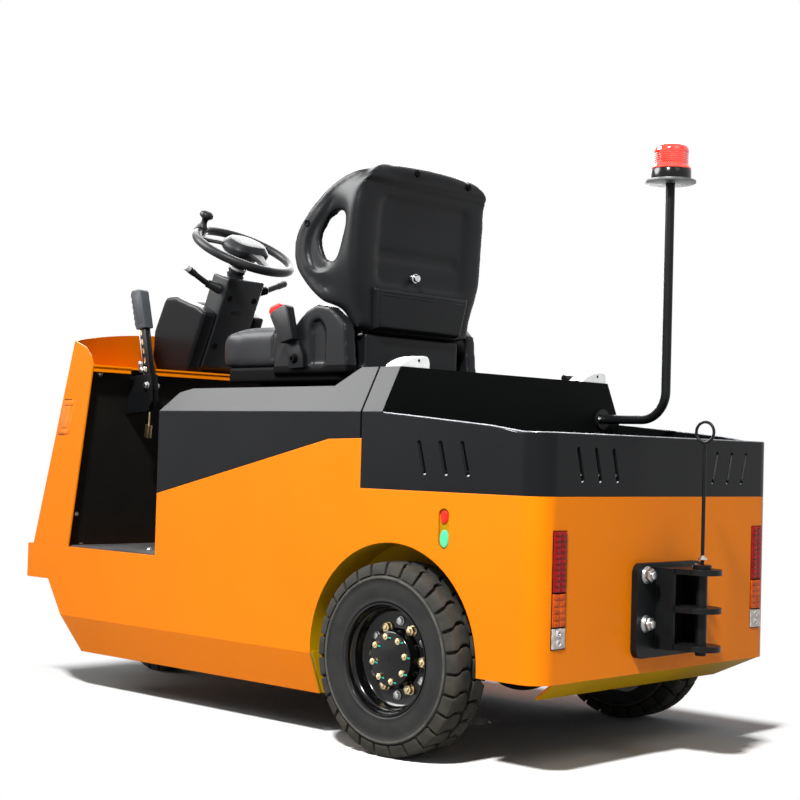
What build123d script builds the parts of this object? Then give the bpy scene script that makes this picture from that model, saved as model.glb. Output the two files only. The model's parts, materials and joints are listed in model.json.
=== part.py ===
from build123d import *
import os
from math import atan2, cos, pi, radians, sin, sqrt

os.makedirs("parts", exist_ok=True)

# Electric tow tractor with three wheels, in millimetres. While it is modelled, x runs forward
# from the rear axle, y to the driver's left and z up from the ground. At the end every piece
# moves along x, so that the origin lies on the ground under the middle of the whole length.

# Driving sizes
wheelbase = 1325
body_half = 439
rear_reach = 392
deck_z = 375
crease_z = 192
belt_z = 569
cover_crease_z = 738
cover_top_z = 840
seam_x = 116
steel = 5
running_fit = 0.05
lamp_gap = 0.4

# Wheels
rear_tyre_r = 207.5
rear_tyre_w = 112
rear_track_half = body_half - 20
rear_rim_r = 122
front_tyre_r = 165
front_tyre_w = 100
front_rim_r = 88
tyre_shoulder = 11
spindle_r = 20
rear_dish = 46
rear_hub_r = 60
rear_hub_long = 31

# Steel body
rear_corner = 50
skirt_bottom_z = 98
skirt_lean = 35
bumper_low_z = deck_z - 91
bumper_corner_x = wheelbase + 69
nose_bulge = 120
bumper_lip = 45
toe_x = wheelbase - 30
toe_crease_x = wheelbase - 93
toe_bottom_x = wheelbase - 145
arch_r = rear_tyre_r + 39.5
arch_ahead = 15
arch_in_y = body_half - 99
bulkhead_x = wheelbase - 490
tail_drop = 45
tail_in = 84
tail_half = body_half - 103

# Lamps let into the steel
tail_lamp_w = 46
tail_lamp_in = 41
tail_lamp_low_z = crease_z + 70
tail_lamp_high_z = belt_z - 68
tail_lamp_deep = 24
side_mark_x = seam_x - 249
side_mark_z = belt_z - 77
side_mark_r = 15
side_mark_long = 56
head_lamp_y = body_half - 164
head_lamp_z = deck_z + 325
head_lamp_r = 52
marker_low_z = deck_z + 297
marker_h = 96
marker_in = 8
marker_long = 34

# Black covers
cover_wall = 4
cover_lean_in = 54
cover_top_half = body_half - cover_lean_in
seam_gap = 5
seam_low_z = cover_crease_z - 59
slope_start_x = seam_x + 104
hood_front_low_z = deck_z + 156
hood_deck_z = cover_top_z - 43
hood_step_x = seam_x + 121
hood_step_top_x = seam_x + 58
hood_nose_x = bulkhead_x - 49
hood_open_x = seam_x + 2.5
hood_open_z = cover_top_z + 10
tray_wall_x = seam_x - 62
tray_floor_z = belt_z + 43
rim_mid_x = -255
rim_mid_z = cover_crease_z - 29
rim_rear_z = cover_crease_z - 41
slot_w = 11
slot_long = 76
slot_lean = 15
slot_pitch = 61
side_slot_x = seam_x - 182
side_slot_z = belt_z + 71
rear_slot_y = body_half - 126
rear_slot_z = belt_z + 65

# Front upright
cowl_foot_front_x = bumper_corner_x - 29
cowl_foot_rear_x = wheelbase - 115
cowl_top_front_x = cowl_foot_front_x - 158
cowl_top_rear_x = cowl_foot_rear_x - 86
cowl_shelf_z = deck_z + 485
cowl_lip_z = cowl_shelf_z + 65
cowl_dome = 42
cowl_foot_rise = 13
shelf_fold = 18
liner_wall = 3
liner_back = 40
floor_t = 4

# Underframe, axle and battery
rail_y = body_half - 159
rail_w = 60
rail_low_z = 200
rail_h = 80
axle_tube_r = 45
diff_r = 105
motor_r = 92
motor_long = 215
battery_x = (bulkhead_x - 545, bulkhead_x - 20)
battery_half = body_half - 39
battery_top_z = cover_crease_z - 33
kingpin_r = 25
bearing_r = 55
carrier_t = 12
fork_leg_t = 12
fork_gap = 9

# Towing hitch
hitch_plate_t = 15
hitch_half = 125
hitch_low_z = 226
hitch_top_z = 428
pin_r = 12
pin_back = 94
lug_half = 42.5
lug_t = 12
lug_zs = (250, 331, 412)
pin_head_r = 20
lift_rod_r = 4
lift_rod_top_z = 690
lift_ring_r = 22
hitch_bolt_y = 93
hitch_bolt_zs = (300, 403)
hitch_bolt_r = 13

# Hinges and caps on the raised wall
hinge_y = body_half - 124
hinge_pin_r = 4
hinge_barrel_r = 8
hinge_long = 60
knuckle = 20
cap_y = (body_half - 153, body_half - 57)
cap_h = 28

# Seat, set out from the rear face of its back at the height of the knob
seat_x = bulkhead_x - 488
seat_z = hood_deck_z
seat_half = 240
cushion_low_z = seat_z + 61
cushion_h = 104
cushion_front_x = seat_x + 523
back_tilt = 5.8
back_pivot = 363
back_low_z = seat_z + 143
back_pad_t = 40
panel_half = 163
panel_z = (263, 483)
back_wall = 42
wing_wall = 30
cheek_t = 36

# Steering and controls
wheel_x = cowl_top_rear_x - 86
wheel_z = cowl_shelf_z + 343
wheel_tilt = 28
wheel_ring_r = 140
wheel_grip_r = 13
shaft_r = 10
horn_pad_r = 58
knob_turn = 30
column_half = 66
pod_half = 112
lever_reach = 192
lever_y = body_half - 169
lever_pivot_x = cowl_top_rear_x - 34
lever_pivot_z = cowl_shelf_z - 48
lever_pin_r = 6

# Beacon
pole_x = -140
pole_y = -body_half + 79
pole_r = 11.5
pole_foot_z = cover_crease_z + 10
pole_flange_r = 26
pole_bend = 70
beacon_z = pole_foot_z + 588
beacon_disc_r = 63
beacon_base_r = 51
lens_r = 44
lens_h = 62

nose_x = bumper_corner_x + nose_bulge
pin_x = -(rear_reach + pin_back)
hitch_reach = -pin_x + lug_half
nose_r = (body_half ** 2 + nose_bulge ** 2) / (2 * nose_bulge)
shift_x = -(nose_x - hitch_reach) / 2
steer_axis = (-sin(radians(wheel_tilt)), 0, cos(radians(wheel_tilt)))

nodes = {}


# Slabs whose outlines lie across one axis
def face_of(points):
    return make_face(Polyline(*points, close=True))


def prism_y(outline, low, high):
    return extrude(face_of([(x, low, z) for x, z in outline]), high - low, dir=(0, 1, 0))


def prism_x(outline, low, high):
    return extrude(face_of([(low, y, z) for y, z in outline]), high - low, dir=(1, 0, 0))


def prism_z(outline, low, high):
    return extrude(face_of([(x, y, low) for x, y in outline]), high - low, dir=(0, 0, 1))


def block(x, y, z):
    size = [high - low for low, high in (x, y, z)]
    centre = [(high + low) / 2 for low, high in (x, y, z)]
    return Pos(*centre) * Box(*size)


def rod_y(x, z, r, low, high):
    return Pos(x, (low + high) / 2, z) * Rot(90, 0, 0) * Cylinder(r, high - low)


def rod_x(y, z, r, low, high):
    return Pos((low + high) / 2, y, z) * Rot(0, 90, 0) * Cylinder(r, high - low)


def rod_z(x, y, r, low, high):
    return Pos(x, y, (low + high) / 2) * Cylinder(r, high - low)


def both_sides(piece):
    return piece + mirror(piece, Plane.XZ)


def lathe_y(section, x, y, z):
    # section gives (distance along y, radius) and turns about an axis along y
    face = face_of([(r, along, 0) for along, r in section])
    return Pos(x, y, z) * Rot(0, -90, 0) * revolve(face, Axis.Y)


# Plan of the body: square sides, rounded rear corners and a bowed nose
def plan_face(inset, z, corner_x=bumper_corner_x, rear_x=-rear_reach, round_r=rear_corner):
    half = body_half - inset
    bow_r = nose_r - inset
    bow_x = corner_x + nose_bulge - nose_r
    front = bow_x + sqrt(bow_r ** 2 - half ** 2)
    rear = rear_x + inset
    r = max(round_r - inset, 1)
    side = Line((rear + r, half, z), (front, half, z))
    bow = ThreePointArc((front, half, z), (bow_x + bow_r, 0, z), (front, -half, z))
    other = Line((front, -half, z), (rear + r, -half, z))
    mid_x, mid_y = rear + r * (1 - cos(pi / 4)), half - r * (1 - sin(pi / 4))
    turn = ThreePointArc((rear + r, -half, z), (mid_x, -mid_y, z),
                         (rear, -half + r, z))
    back = Line((rear, -half + r, z), (rear, half - r, z))
    last = ThreePointArc((rear, half - r, z), (mid_x, mid_y, z), (rear + r, half, z))
    return make_face([side, bow, other, turn, back, last])


def plan_solid(inset, low, high):
    return extrude(plan_face(inset, low), high - low, dir=(0, 0, 1))


# Body shell: one weldment of side plates, rear plate, sill, bumper, skirts and wheelhouses
def arch_cut(r, low, high):
    opening = rod_y(arch_ahead, rear_tyre_r, r, low, high)
    return opening + block((arch_ahead - r, arch_ahead + r), (low, high), (0, rear_tyre_r))


def skirt(outline):
    # outline gives (x, z) on the leaning plane under the crease
    lean = skirt_lean / (crease_z - skirt_bottom_z)
    points = [(x, body_half - (crease_z - z) * lean, z) for x, z in outline]
    inward = Vector(0, -cos(atan2(skirt_lean, crease_z - skirt_bottom_z)),
                    sin(atan2(skirt_lean, crease_z - skirt_bottom_z)))
    return extrude(face_of(points), steel, dir=inward)


side_outline = [(-rear_reach - 1, crease_z), (-rear_reach - 1, belt_z), (seam_x, belt_z), (seam_x, seam_low_z),
                (slope_start_x, seam_low_z - 3), (bulkhead_x, hood_front_low_z), (bulkhead_x, deck_z),
                (nose_x + 1, deck_z), (nose_x + 1, bumper_low_z), (toe_x, bumper_low_z),
                (toe_crease_x, crease_z)]
shell = plan_solid(0, crease_z, seam_low_z + 1) & prism_y(side_outline, -body_half, body_half)
shell -= plan_solid(steel, crease_z - 1, seam_low_z + 2)
deck = plan_solid(steel / 2, deck_z - steel, deck_z) & block((bulkhead_x, nose_x), (-body_half, body_half),
                                                             (0, deck_z))
lip = plan_solid(0, bumper_low_z, bumper_low_z + steel) - plan_solid(bumper_lip, bumper_low_z - 1,
                                                                     bumper_low_z + steel + 1)
lip &= block((toe_x, nose_x), (-body_half, body_half), (0, deck_z))
shell += deck + lip
arch_front_x = arch_ahead + arch_r
front_skirt = skirt([(arch_front_x, crease_z), (toe_crease_x, crease_z), (toe_bottom_x, skirt_bottom_z),
                     (arch_front_x, skirt_bottom_z)])
house = arch_cut(arch_r + steel, arch_in_y, body_half - 1) - arch_cut(arch_r, arch_in_y + steel, body_half + 9)
house &= block((-999, 999), (0, body_half), (crease_z, 999))
house -= rod_y(0, rear_tyre_r, axle_tube_r + 24, 0, body_half)
cut_side = arch_cut(arch_r, arch_in_y + steel, body_half + 9)
tail_fold = body_half - rear_corner
tail = face_of([(-rear_reach, tail_fold, crease_z), (-rear_reach, -tail_fold, crease_z),
                (-rear_reach + tail_in, -tail_half, crease_z - tail_drop),
                (-rear_reach + tail_in, tail_half, crease_z - tail_drop)])
tail = extrude(tail, steel, dir=(sin(atan2(tail_drop, tail_in)), 0, cos(atan2(tail_drop, tail_in))))
shell = shell - both_sides(cut_side)
shell += both_sides(front_skirt + house)
shell += tail
nodes["body_shell"] = shell


# Lamp pockets, the side indicator and the hitch are let into or stand on the rear and side plates
tail_lamp_y = (body_half - tail_lamp_in - tail_lamp_w, body_half - tail_lamp_in)
tail_lamp_z = (tail_lamp_low_z, tail_lamp_high_z)


def upright_oval(x, z, r, long, low, high):
    oval = rod_y(x, z + long / 2, r, low, high) + rod_y(x, z - long / 2, r, low, high)
    return oval + block((x - r, x + r), (low, high), (z - long / 2, z + long / 2))


lamp_hole = block((-rear_reach - 5, -rear_reach + 9), tail_lamp_y, tail_lamp_z)
nodes["body_shell"] -= both_sides(lamp_hole)
nodes["body_shell"] -= upright_oval(side_mark_x, side_mark_z, side_mark_r, side_mark_long,
                                    body_half - steel - 1, body_half + 1)
lamp = block((-rear_reach - 2, -rear_reach + tail_lamp_deep),
             (tail_lamp_y[0] + lamp_gap, tail_lamp_y[1] - lamp_gap),
             (tail_lamp_z[0] + lamp_gap, tail_lamp_z[1] - lamp_gap))
lamp = fillet(lamp.edges().filter_by(Axis.Z).sort_by(Axis.X)[:2], 3)
nodes["tail_lamp_left"] = lamp
nodes["tail_lamp_right"] = mirror(lamp, Plane.XZ)
mark = upright_oval(side_mark_x, side_mark_z, side_mark_r - lamp_gap, side_mark_long,
                    body_half - steel, body_half - 2)
mark += upright_oval(side_mark_x, side_mark_z, side_mark_r + 6, side_mark_long,
                     body_half - steel - 2, body_half - steel)
nodes["side_indicator"] = mark

# Underframe: two box rails, cross members, bulkhead, battery floor and the carrier of the front fork
rail_front_x = toe_x - 15
rail = block((-rear_reach + steel, rail_front_x), (rail_y - rail_w / 2, rail_y + rail_w / 2),
             (rail_low_z, rail_low_z + rail_h))
rail -= rod_y(0, rear_tyre_r, axle_tube_r, 0, body_half)
rear_beam = block((-rear_reach + steel, -rear_reach + steel + 40), (-rail_y, rail_y),
                  (rail_low_z + 10, rail_low_z + 70))
mid_beam = block((bulkhead_x - 45, bulkhead_x - 5), (-body_half + steel, body_half - steel),
                 (rail_low_z, rail_low_z + rail_h))
battery_floor = block((battery_x[0] - 15, bulkhead_x), (-body_half + steel, body_half - steel),
                      (rail_low_z + rail_h, rail_low_z + rail_h + steel))
bulkhead = block((bulkhead_x - 5, bulkhead_x), (-body_half + steel, body_half - steel),
                 (rail_low_z, hood_front_low_z - 8))
carrier_x = (wheelbase - 120, wheelbase + 110)
carrier_z = deck_z - steel - carrier_t
carrier = block(carrier_x, (-rail_y, rail_y), (carrier_z, deck_z - steel))
carrier += both_sides(block((carrier_x[0], rail_front_x), (rail_y - 12, rail_y),
                            (rail_low_z + rail_h, deck_z - steel)))
bearing_top_z = deck_z + 45
carrier += rod_z(wheelbase, 0, bearing_r, carrier_z, bearing_top_z)
carrier -= rod_z(wheelbase, 0, kingpin_r + running_fit, deck_z - 40, bearing_top_z + 1)
nodes["body_shell"] -= rod_z(wheelbase, 0, bearing_r + 1, deck_z - steel - 1, deck_z + 1)
nodes["chassis_frame"] = both_sides(rail) + rear_beam + mid_beam + battery_floor + bulkhead + carrier

# Battery in its steel box, under the hood
battery = block(battery_x, (-battery_half, battery_half), (rail_low_z + rail_h + steel, battery_top_z))
battery = fillet(battery.edges().filter_by(Axis.Z), 12)
nodes["battery_block"] = battery

# Drive axle: tube with spindles, differential case and brackets, and its motor behind
tube_end_y = rear_track_half - rear_tyre_w / 2 - 22
axle = rod_y(0, rear_tyre_r, axle_tube_r - 0.3, -tube_end_y, tube_end_y)
axle += rod_y(0, rear_tyre_r, spindle_r, -rear_track_half - 10, rear_track_half + 10)
case = Pos(0, 0, rear_tyre_r) * Sphere(diff_r)
case &= block((-diff_r, diff_r), (-diff_r * 0.8, diff_r * 0.8), (0, 2 * rear_tyre_r))
axle += case + rod_y(0, rear_tyre_r, axle_tube_r + 14, -diff_r - 25, diff_r + 25)
axle += both_sides(rod_y(0, rear_tyre_r, axle_tube_r + 22, tube_end_y - 10, tube_end_y))
nodes["drive_axle"] = axle
motor_rear_x = -diff_r + 18
motor = rod_x(0, rear_tyre_r + 20, motor_r, motor_rear_x - motor_long, motor_rear_x)
motor -= Pos(0, 0, rear_tyre_r) * Sphere(diff_r + 0.3)
motor += rod_x(0, rear_tyre_r + 20, motor_r * 0.55, motor_rear_x - motor_long - 18, motor_rear_x - motor_long)
nodes["drive_motor"] = motor


# Solid tyres on deep rims; a section runs as (distance along the axle, radius)
def tyre_solid(r, w, rim_r, x, y, z):
    half, s = w / 2, tyre_shoulder
    outer = [(half - 9, rim_r - 8), (half - 5, rim_r + 6), (half - 1, rim_r + 0.35 * (r - rim_r)),
             (half, r - 2.6 * s), (half - 1, r - 1.2 * s), (half - s, r)]
    inner = [(-along, radius) for along, radius in reversed(outer)]
    return lathe_y(outer + inner, x, y, z)


def rim_solid(w, rim_r, x, y, z):
    # flange, stepped well, disc and closed hub; rear_dish is how far in from the flange the disc lies
    half = w / 2 - 8
    r = rim_r - 8.3
    disc = half - rear_dish
    face = disc + rear_hub_long
    bore = spindle_r + running_fit
    section = [(half, r), (half, r - 4), (half - 6, r - 9), (disc + 4, r - 13), (disc, r - 20),
               (disc, rear_hub_r + 6), (disc + 8, rear_hub_r + 2), (face - 3, rear_hub_r),
               (face, rear_hub_r - 4), (face, 0), (disc + 14, 0),
               (disc + 14, bore), (disc - 40, bore), (disc - 40, rear_hub_r - 8), (disc - 14, rear_hub_r),
               (disc - 12, r - 18), (disc - 22, r - 11), (-half, r - 8), (-half, r)]
    return lathe_y(section, x, y, z)


for side, name in ((1, "left"), (-1, "right")):
    tyre = tyre_solid(rear_tyre_r, rear_tyre_w, rear_rim_r, 0, rear_track_half, rear_tyre_r)
    rim = rim_solid(rear_tyre_w, rear_rim_r, 0, rear_track_half, rear_tyre_r)
    nodes[f"rear_tyre_{name}"] = tyre if side > 0 else mirror(tyre, Plane.XZ)
    nodes[f"rear_rim_{name}"] = rim if side > 0 else mirror(rim, Plane.XZ)

# Front wheel in its fork under the floor
nodes["front_tyre"] = tyre_solid(front_tyre_r, front_tyre_w, front_rim_r, wheelbase, 0, front_tyre_r)
hub_half = front_tyre_w / 2
front_bore = spindle_r + running_fit
half_section = [(hub_half, front_bore), (hub_half, 36), (10, 42), (8, front_rim_r - 24),
                (hub_half - 8, front_rim_r - 18), (hub_half - 8, front_rim_r - 8.3)]
other_half = [(-along, r) for along, r in reversed(half_section)]
nodes["front_rim"] = lathe_y(half_section + other_half, wheelbase, 0, front_tyre_r)
leg_in = front_tyre_w / 2 + fork_gap
fork_top_z = carrier_z - 3
leg = prism_y([(wheelbase - 32, front_tyre_r - 32), (wheelbase + 32, front_tyre_r - 32),
               (wheelbase + 62, fork_top_z), (wheelbase - 62, fork_top_z)], leg_in, leg_in + fork_leg_t)
fork = both_sides(leg)
fork += block((wheelbase - 62, wheelbase + 62), (-leg_in - fork_leg_t, leg_in + fork_leg_t),
              (fork_top_z - 12, fork_top_z))
fork += rod_z(wheelbase, 0, kingpin_r, fork_top_z - 1, bearing_top_z + 12)
fork += rod_z(wheelbase, 0, bearing_r - 12, fork_top_z - 1, fork_top_z + 2.7)
fork += rod_y(wheelbase, front_tyre_r, spindle_r, -leg_in - fork_leg_t - 9, leg_in + fork_leg_t + 9)
nodes["steer_fork"] = fork
nodes["front_rim"] += both_sides(rod_y(wheelbase, front_tyre_r, 28, hub_half - 1, leg_in - 0.3)
                                 - rod_y(wheelbase, front_tyre_r, spindle_r + running_fit, hub_half - 2, leg_in))

# Front upright: a bowed shell with side flanges, a shelf and a black panel behind the driver's feet
cowl_top_z = cowl_lip_z + cowl_dome
cowl_run = (cowl_foot_front_x - cowl_top_front_x) / (cowl_lip_z - deck_z - cowl_foot_rise)


def cowl_corner_x(z):
    return cowl_foot_front_x + cowl_run * (deck_z + cowl_foot_rise - z)


def cowl_solid(inset, spare):
    high_z = cowl_top_z + 5
    rear_x = cowl_foot_rear_x - 150 - spare
    low = plan_face(inset, deck_z, cowl_corner_x(deck_z), rear_x, 1)
    high = plan_face(inset, high_z, cowl_corner_x(high_z), rear_x, 1)
    return loft([low, high])


cowl_side = [(cowl_foot_rear_x, deck_z), (cowl_top_rear_x, cowl_shelf_z),
             (cowl_top_rear_x + 10, cowl_shelf_z + 23), (cowl_top_rear_x + 34, cowl_shelf_z + 47), (cowl_top_front_x, cowl_lip_z),
             (cowl_top_front_x + 60, cowl_top_z + 4), (nose_x + 40, cowl_top_z + 4), (nose_x + 40, deck_z)]
dome_r = (body_half ** 2 + cowl_dome ** 2) / (2 * cowl_dome)
dome = rod_x(0, cowl_top_z - dome_r, dome_r, bulkhead_x, nose_x + 50)
cowl_outer = cowl_solid(0, 0) & prism_y(cowl_side, -body_half, body_half)
cowl = cowl_outer - cowl_solid(steel, 20)
shelf = block((cowl_top_rear_x, nose_x), (-body_half, body_half), (cowl_shelf_z - steel, cowl_shelf_z))
shelf += block((cowl_top_rear_x + 4, cowl_top_rear_x + 8), (-body_half, body_half),
               (cowl_shelf_z - shelf_fold, cowl_shelf_z - 1))
cowl += shelf & cowl_solid(steel / 2, 0)
cowl &= dome
notch = block((cowl_top_rear_x - 5, cowl_top_rear_x + 30), (lever_y - 34, lever_y + 40),
              (cowl_shelf_z - shelf_fold - 1, cowl_shelf_z + 5))
cowl -= notch
liner_lean = (cowl_foot_rear_x - cowl_top_rear_x) / (cowl_shelf_z - deck_z)
liner_low_z = deck_z + 0.5
liner_high_z = cowl_shelf_z - steel - 0.5


def liner_x(z):
    return cowl_foot_rear_x - liner_lean * (z - deck_z) + liner_back


liner = prism_y([(liner_x(liner_low_z), liner_low_z), (liner_x(liner_low_z) + liner_wall, liner_low_z),
                 (liner_x(liner_high_z) + liner_wall, liner_high_z), (liner_x(liner_high_z), liner_high_z)],
                -body_half + steel, body_half - steel)


def cowl_face_x(y, z):
    return cowl_corner_x(z) + sqrt(nose_r ** 2 - y ** 2) - (nose_r - nose_bulge)


lamp_x = cowl_face_x(head_lamp_y, head_lamp_z)
cowl -= both_sides(rod_x(head_lamp_y, head_lamp_z, head_lamp_r + lamp_gap, lamp_x - 90, lamp_x + 90))
head = rod_x(head_lamp_y, head_lamp_z, head_lamp_r, lamp_x - 60, lamp_x + 12)
head = fillet(head.edges().filter_by(GeomType.CIRCLE).sort_by(Axis.X)[-1:], 6)
head += rod_x(head_lamp_y, head_lamp_z, head_lamp_r - 14, lamp_x - 95, lamp_x - 60)
nodes["headlamp_left"] = head
nodes["headlamp_right"] = mirror(head, Plane.XZ)

# Amber marker lamps let into the side flanges, leaning with the upright
def marker_outline(grow):
    low, high = marker_low_z - grow, marker_low_z + marker_h + grow
    front_low, front_high = (cowl_corner_x(z) - marker_in for z in (low, high))
    return [(front_low + grow, low), (front_high + grow, high), (front_high - marker_long - grow, high),
            (front_low - marker_long - grow, low)]


cowl -= both_sides(prism_y(marker_outline(lamp_gap), body_half - steel - 2, body_half + 2))
marker = prism_y(marker_outline(0), body_half - 13, body_half + 1.5)
nodes["marker_lamp_left"] = marker
nodes["marker_lamp_right"] = mirror(marker, Plane.XZ)
nodes["front_cowl"] = cowl
nodes["cowl_liner"] = liner

# Floor plate of the footwell
nodes["floor_plate"] = block((bulkhead_x + 6, cowl_foot_rear_x - 4), (-body_half + 9, body_half - 9),
                             (deck_z, deck_z + floor_t))

# Hood over the battery: side covers that lean inwards above a crease, with the seat deck between
cover_lean = (body_half - cover_top_half) / (cover_top_z - cover_crease_z)


def cover_section(inset, low_z):
    top = cover_top_z + 40
    half = body_half - inset
    top_half = half - cover_lean * (top - cover_crease_z)
    return [(-half, low_z), (half, low_z), (half, cover_crease_z), (top_half, top), (-top_half, top),
            (-half, cover_crease_z)]


hood_rear_x = seam_x + seam_gap
hood_side = [(hood_rear_x, seam_low_z + 1), (slope_start_x, seam_low_z - 2), (bulkhead_x, hood_front_low_z + 1),
             (bulkhead_x, cover_crease_z), (hood_nose_x, hood_deck_z - 12), (hood_nose_x - 45, hood_deck_z - 2),
             (hood_step_x, hood_deck_z), (hood_step_top_x, cover_top_z), (hood_rear_x, cover_top_z)]
hood_skin = cover_wall / 2
hood_under_z = hood_front_low_z - 31
hood_inside = [(hood_rear_x - 9, hood_under_z), (bulkhead_x - cover_wall, hood_under_z),
               (bulkhead_x - cover_wall, cover_crease_z - hood_skin),
               (hood_nose_x - hood_skin, hood_deck_z - 12 - cover_wall),
               (hood_nose_x - 45 - hood_skin, hood_deck_z - 2 - cover_wall),
               (hood_step_x - hood_skin, hood_deck_z - cover_wall),
               (hood_step_top_x - hood_skin, cover_top_z - cover_wall), (hood_rear_x - 9, cover_top_z - cover_wall)]
hood = prism_y(hood_side, -body_half, body_half) & prism_x(cover_section(0, hood_under_z), 0, bulkhead_x + 1)
hood -= prism_y(hood_inside, -body_half, body_half) & prism_x(cover_section(cover_wall, hood_under_z - 1), 0,
                                                              bulkhead_x + 1)
nodes["battery_hood"] = hood

# Rear cover: the black tray with a raised wall in front, a sloping rim and slanted air slots
tray_side = [(-rear_reach - 1, belt_z + 0.5), (-rear_reach - 1, rim_rear_z), (-rear_reach + 70, rim_rear_z),
             (rim_mid_x, rim_mid_z), (tray_wall_x, cover_crease_z - 2), (tray_wall_x, cover_top_z),
             (seam_x, cover_top_z),
             (seam_x, belt_z + 0.5)]
tray = plan_solid(0, belt_z + 0.5, cover_top_z) & prism_y(tray_side, -body_half, body_half)
tray &= prism_x(cover_section(0, belt_z), -rear_reach - 1, seam_x + 1)
tray_hollow = plan_solid(cover_wall + 2, belt_z, cover_top_z + 9)
tray -= tray_hollow & block((-rear_reach, tray_wall_x), (-body_half, body_half), (tray_floor_z, 999))
tray -= tray_hollow & block((-rear_reach, seam_x + 9), (-body_half, body_half), (0, tray_floor_z - cover_wall))
tray -= block((tray_wall_x + cover_wall, seam_x + 9), (-cover_top_half + 12, cover_top_half - 12),
              (tray_floor_z - 9, cover_top_z - cover_wall))


def slot_y(x, z, lean, low, high):
    piece = block((x - slot_w / 2, x + slot_w / 2), (low, high), (z - slot_long / 2, z + slot_long / 2))
    piece = fillet(piece.edges().filter_by(Axis.Y), slot_w / 2 - 0.1)
    return piece.rotate(Axis((x, 0, z), (0, 1, 0)), lean)


def slot_x(y, z, lean, low, high):
    piece = block((low, high), (y - slot_w / 2, y + slot_w / 2), (z - slot_long / 2, z + slot_long / 2))
    piece = fillet(piece.edges().filter_by(Axis.X), slot_w / 2 - 0.1)
    return piece.rotate(Axis((0, y, z), (1, 0, 0)), lean)


for k in range(3):
    tray -= both_sides(slot_y(side_slot_x - k * slot_pitch, side_slot_z, slot_lean,
                              body_half - 9, body_half + 2))
    tray -= both_sides(slot_x(rear_slot_y - k * slot_pitch, rear_slot_z, -slot_lean,
                              -rear_reach - 3, -rear_reach + 9))
nodes["rear_cover"] = tray

# Hinges of the hood on the tray's raised wall, and white caps over them
fixed = block((seam_x - 44, seam_x), (-hinge_long / 2, hinge_long / 2), (0, 3))
barrel = rod_y(hood_open_x, hood_open_z, hinge_barrel_r, -hinge_long / 2, hinge_long / 2)
middle = block((hood_open_x - 20, hood_open_x + 20), (-knuckle / 2 - 0.3, knuckle / 2 + 0.3),
               (hood_open_z - 20, hood_open_z + 20))
wrap = block((seam_x - 9, hood_open_x), (-hinge_long / 2, hinge_long / 2), (cover_top_z, hood_open_z))
fixed = Pos(0, 0, cover_top_z) * fixed + (barrel + wrap) - middle
fixed += rod_y(hood_open_x, hood_open_z, hinge_pin_r, -hinge_long / 2, hinge_long / 2)
loose = rod_y(hood_open_x, hood_open_z, hinge_barrel_r, -knuckle / 2, knuckle / 2)
loose += block((hood_open_x, hood_open_x + 36), (-knuckle / 2, knuckle / 2), (cover_top_z - 1, cover_top_z + 3))
loose += block((hood_open_x, hood_open_x + 8), (-knuckle / 2, knuckle / 2), (cover_top_z, hood_open_z))
loose -= rod_y(hood_open_x, hood_open_z, hinge_pin_r + running_fit, -hinge_long, hinge_long)
nodes["hood_hinges"] = both_sides(Pos(0, hinge_y, 0) * fixed)
nodes["battery_hood"] += both_sides(Pos(0, hinge_y, 0) * loose)

# Towing hitch: plate, folded channel and three lugs, with four bolts
plate = block((-rear_reach - hitch_plate_t, -rear_reach), (-hitch_half, hitch_half), (hitch_low_z, hitch_top_z))
plate = fillet(plate.edges().filter_by(Axis.X), 22)
face_x = -rear_reach - hitch_plate_t
channel = block((face_x - 42, face_x), (lug_half + 2, lug_half + 12),
                (lug_zs[0] - lug_t / 2, lug_zs[-1] + lug_t / 2))
hitch = plate + both_sides(channel)
for z in lug_zs:
    lug = block((pin_x, face_x), (-lug_half - 3, lug_half + 3), (z - lug_t / 2, z + lug_t / 2))
    lug += rod_z(pin_x, 0, lug_half, z - lug_t / 2, z + lug_t / 2)
    hitch += lug
hitch -= rod_z(pin_x, 0, pin_r + running_fit, 0, belt_z)
bolt = Pos(face_x - 7, 0, 0) * Rot(0, 90, 0) * extrude(RegularPolygon(hitch_bolt_r, 6), 7, both=True)
for z in hitch_bolt_zs:
    hitch += Pos(0, hitch_bolt_y, z) * bolt + Pos(0, -hitch_bolt_y, z) * bolt
nodes["tow_hitch"] = hitch

# Tow pin: head, shank and a lifting rod with a ring
pin = rod_z(pin_x, 0, pin_r, lug_zs[0] - lug_t / 2 - 10, lug_zs[-1] + lug_t / 2 + 9)
pin += rod_z(pin_x, 0, pin_head_r, lug_zs[-1] + lug_t / 2 + 0.3, lug_zs[-1] + lug_t / 2 + 9)
pin += rod_z(pin_x, 0, lift_rod_r, lug_zs[-1] + lug_t / 2 + 8, lift_rod_top_z)
pin += Pos(pin_x, 0, lift_rod_top_z + lift_ring_r - 1) * Rot(90, 0, 45) * Torus(lift_ring_r, lift_rod_r * 0.8)
nodes["tow_pin"] = pin

# Seat: the outlines are given from (seat_x, seat_z), the middle of the back's rear face over the deck
def seat_points(outline):
    return [(seat_x + x, seat_z + z) for x, z in outline]


def side_curve(points):
    return Spline(*[(x, -seat_half, z) for x, z in points])


def leaning(piece):
    # turns a piece with the back's recline, about the middle of its rear face
    return Pos(seat_x, 0, seat_z + back_pivot) * Rot(0, -back_tilt, 0) * piece


def back_mask(inset, low):
    # front view of the back, drawn in by the inset, from its foot to over its crown
    halves = [(half - inset, z - inset * (z > low + 60)) for half, z in back_halves if z > low]
    halves = [(halves[0][0], low)] + [(half, z) for half, z in halves if half > 0] + [(0, halves[-1][1])]
    points = seat_points([(0, z) for half, z in halves])
    left = [(0, half, z) for (half, _), (_, z) in zip(halves, points)]
    right = [(0, -y, z) for _, y, z in reversed(left[:-1])]
    return make_face([Spline(*left, *right), Line(right[-1], left[0])])


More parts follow.
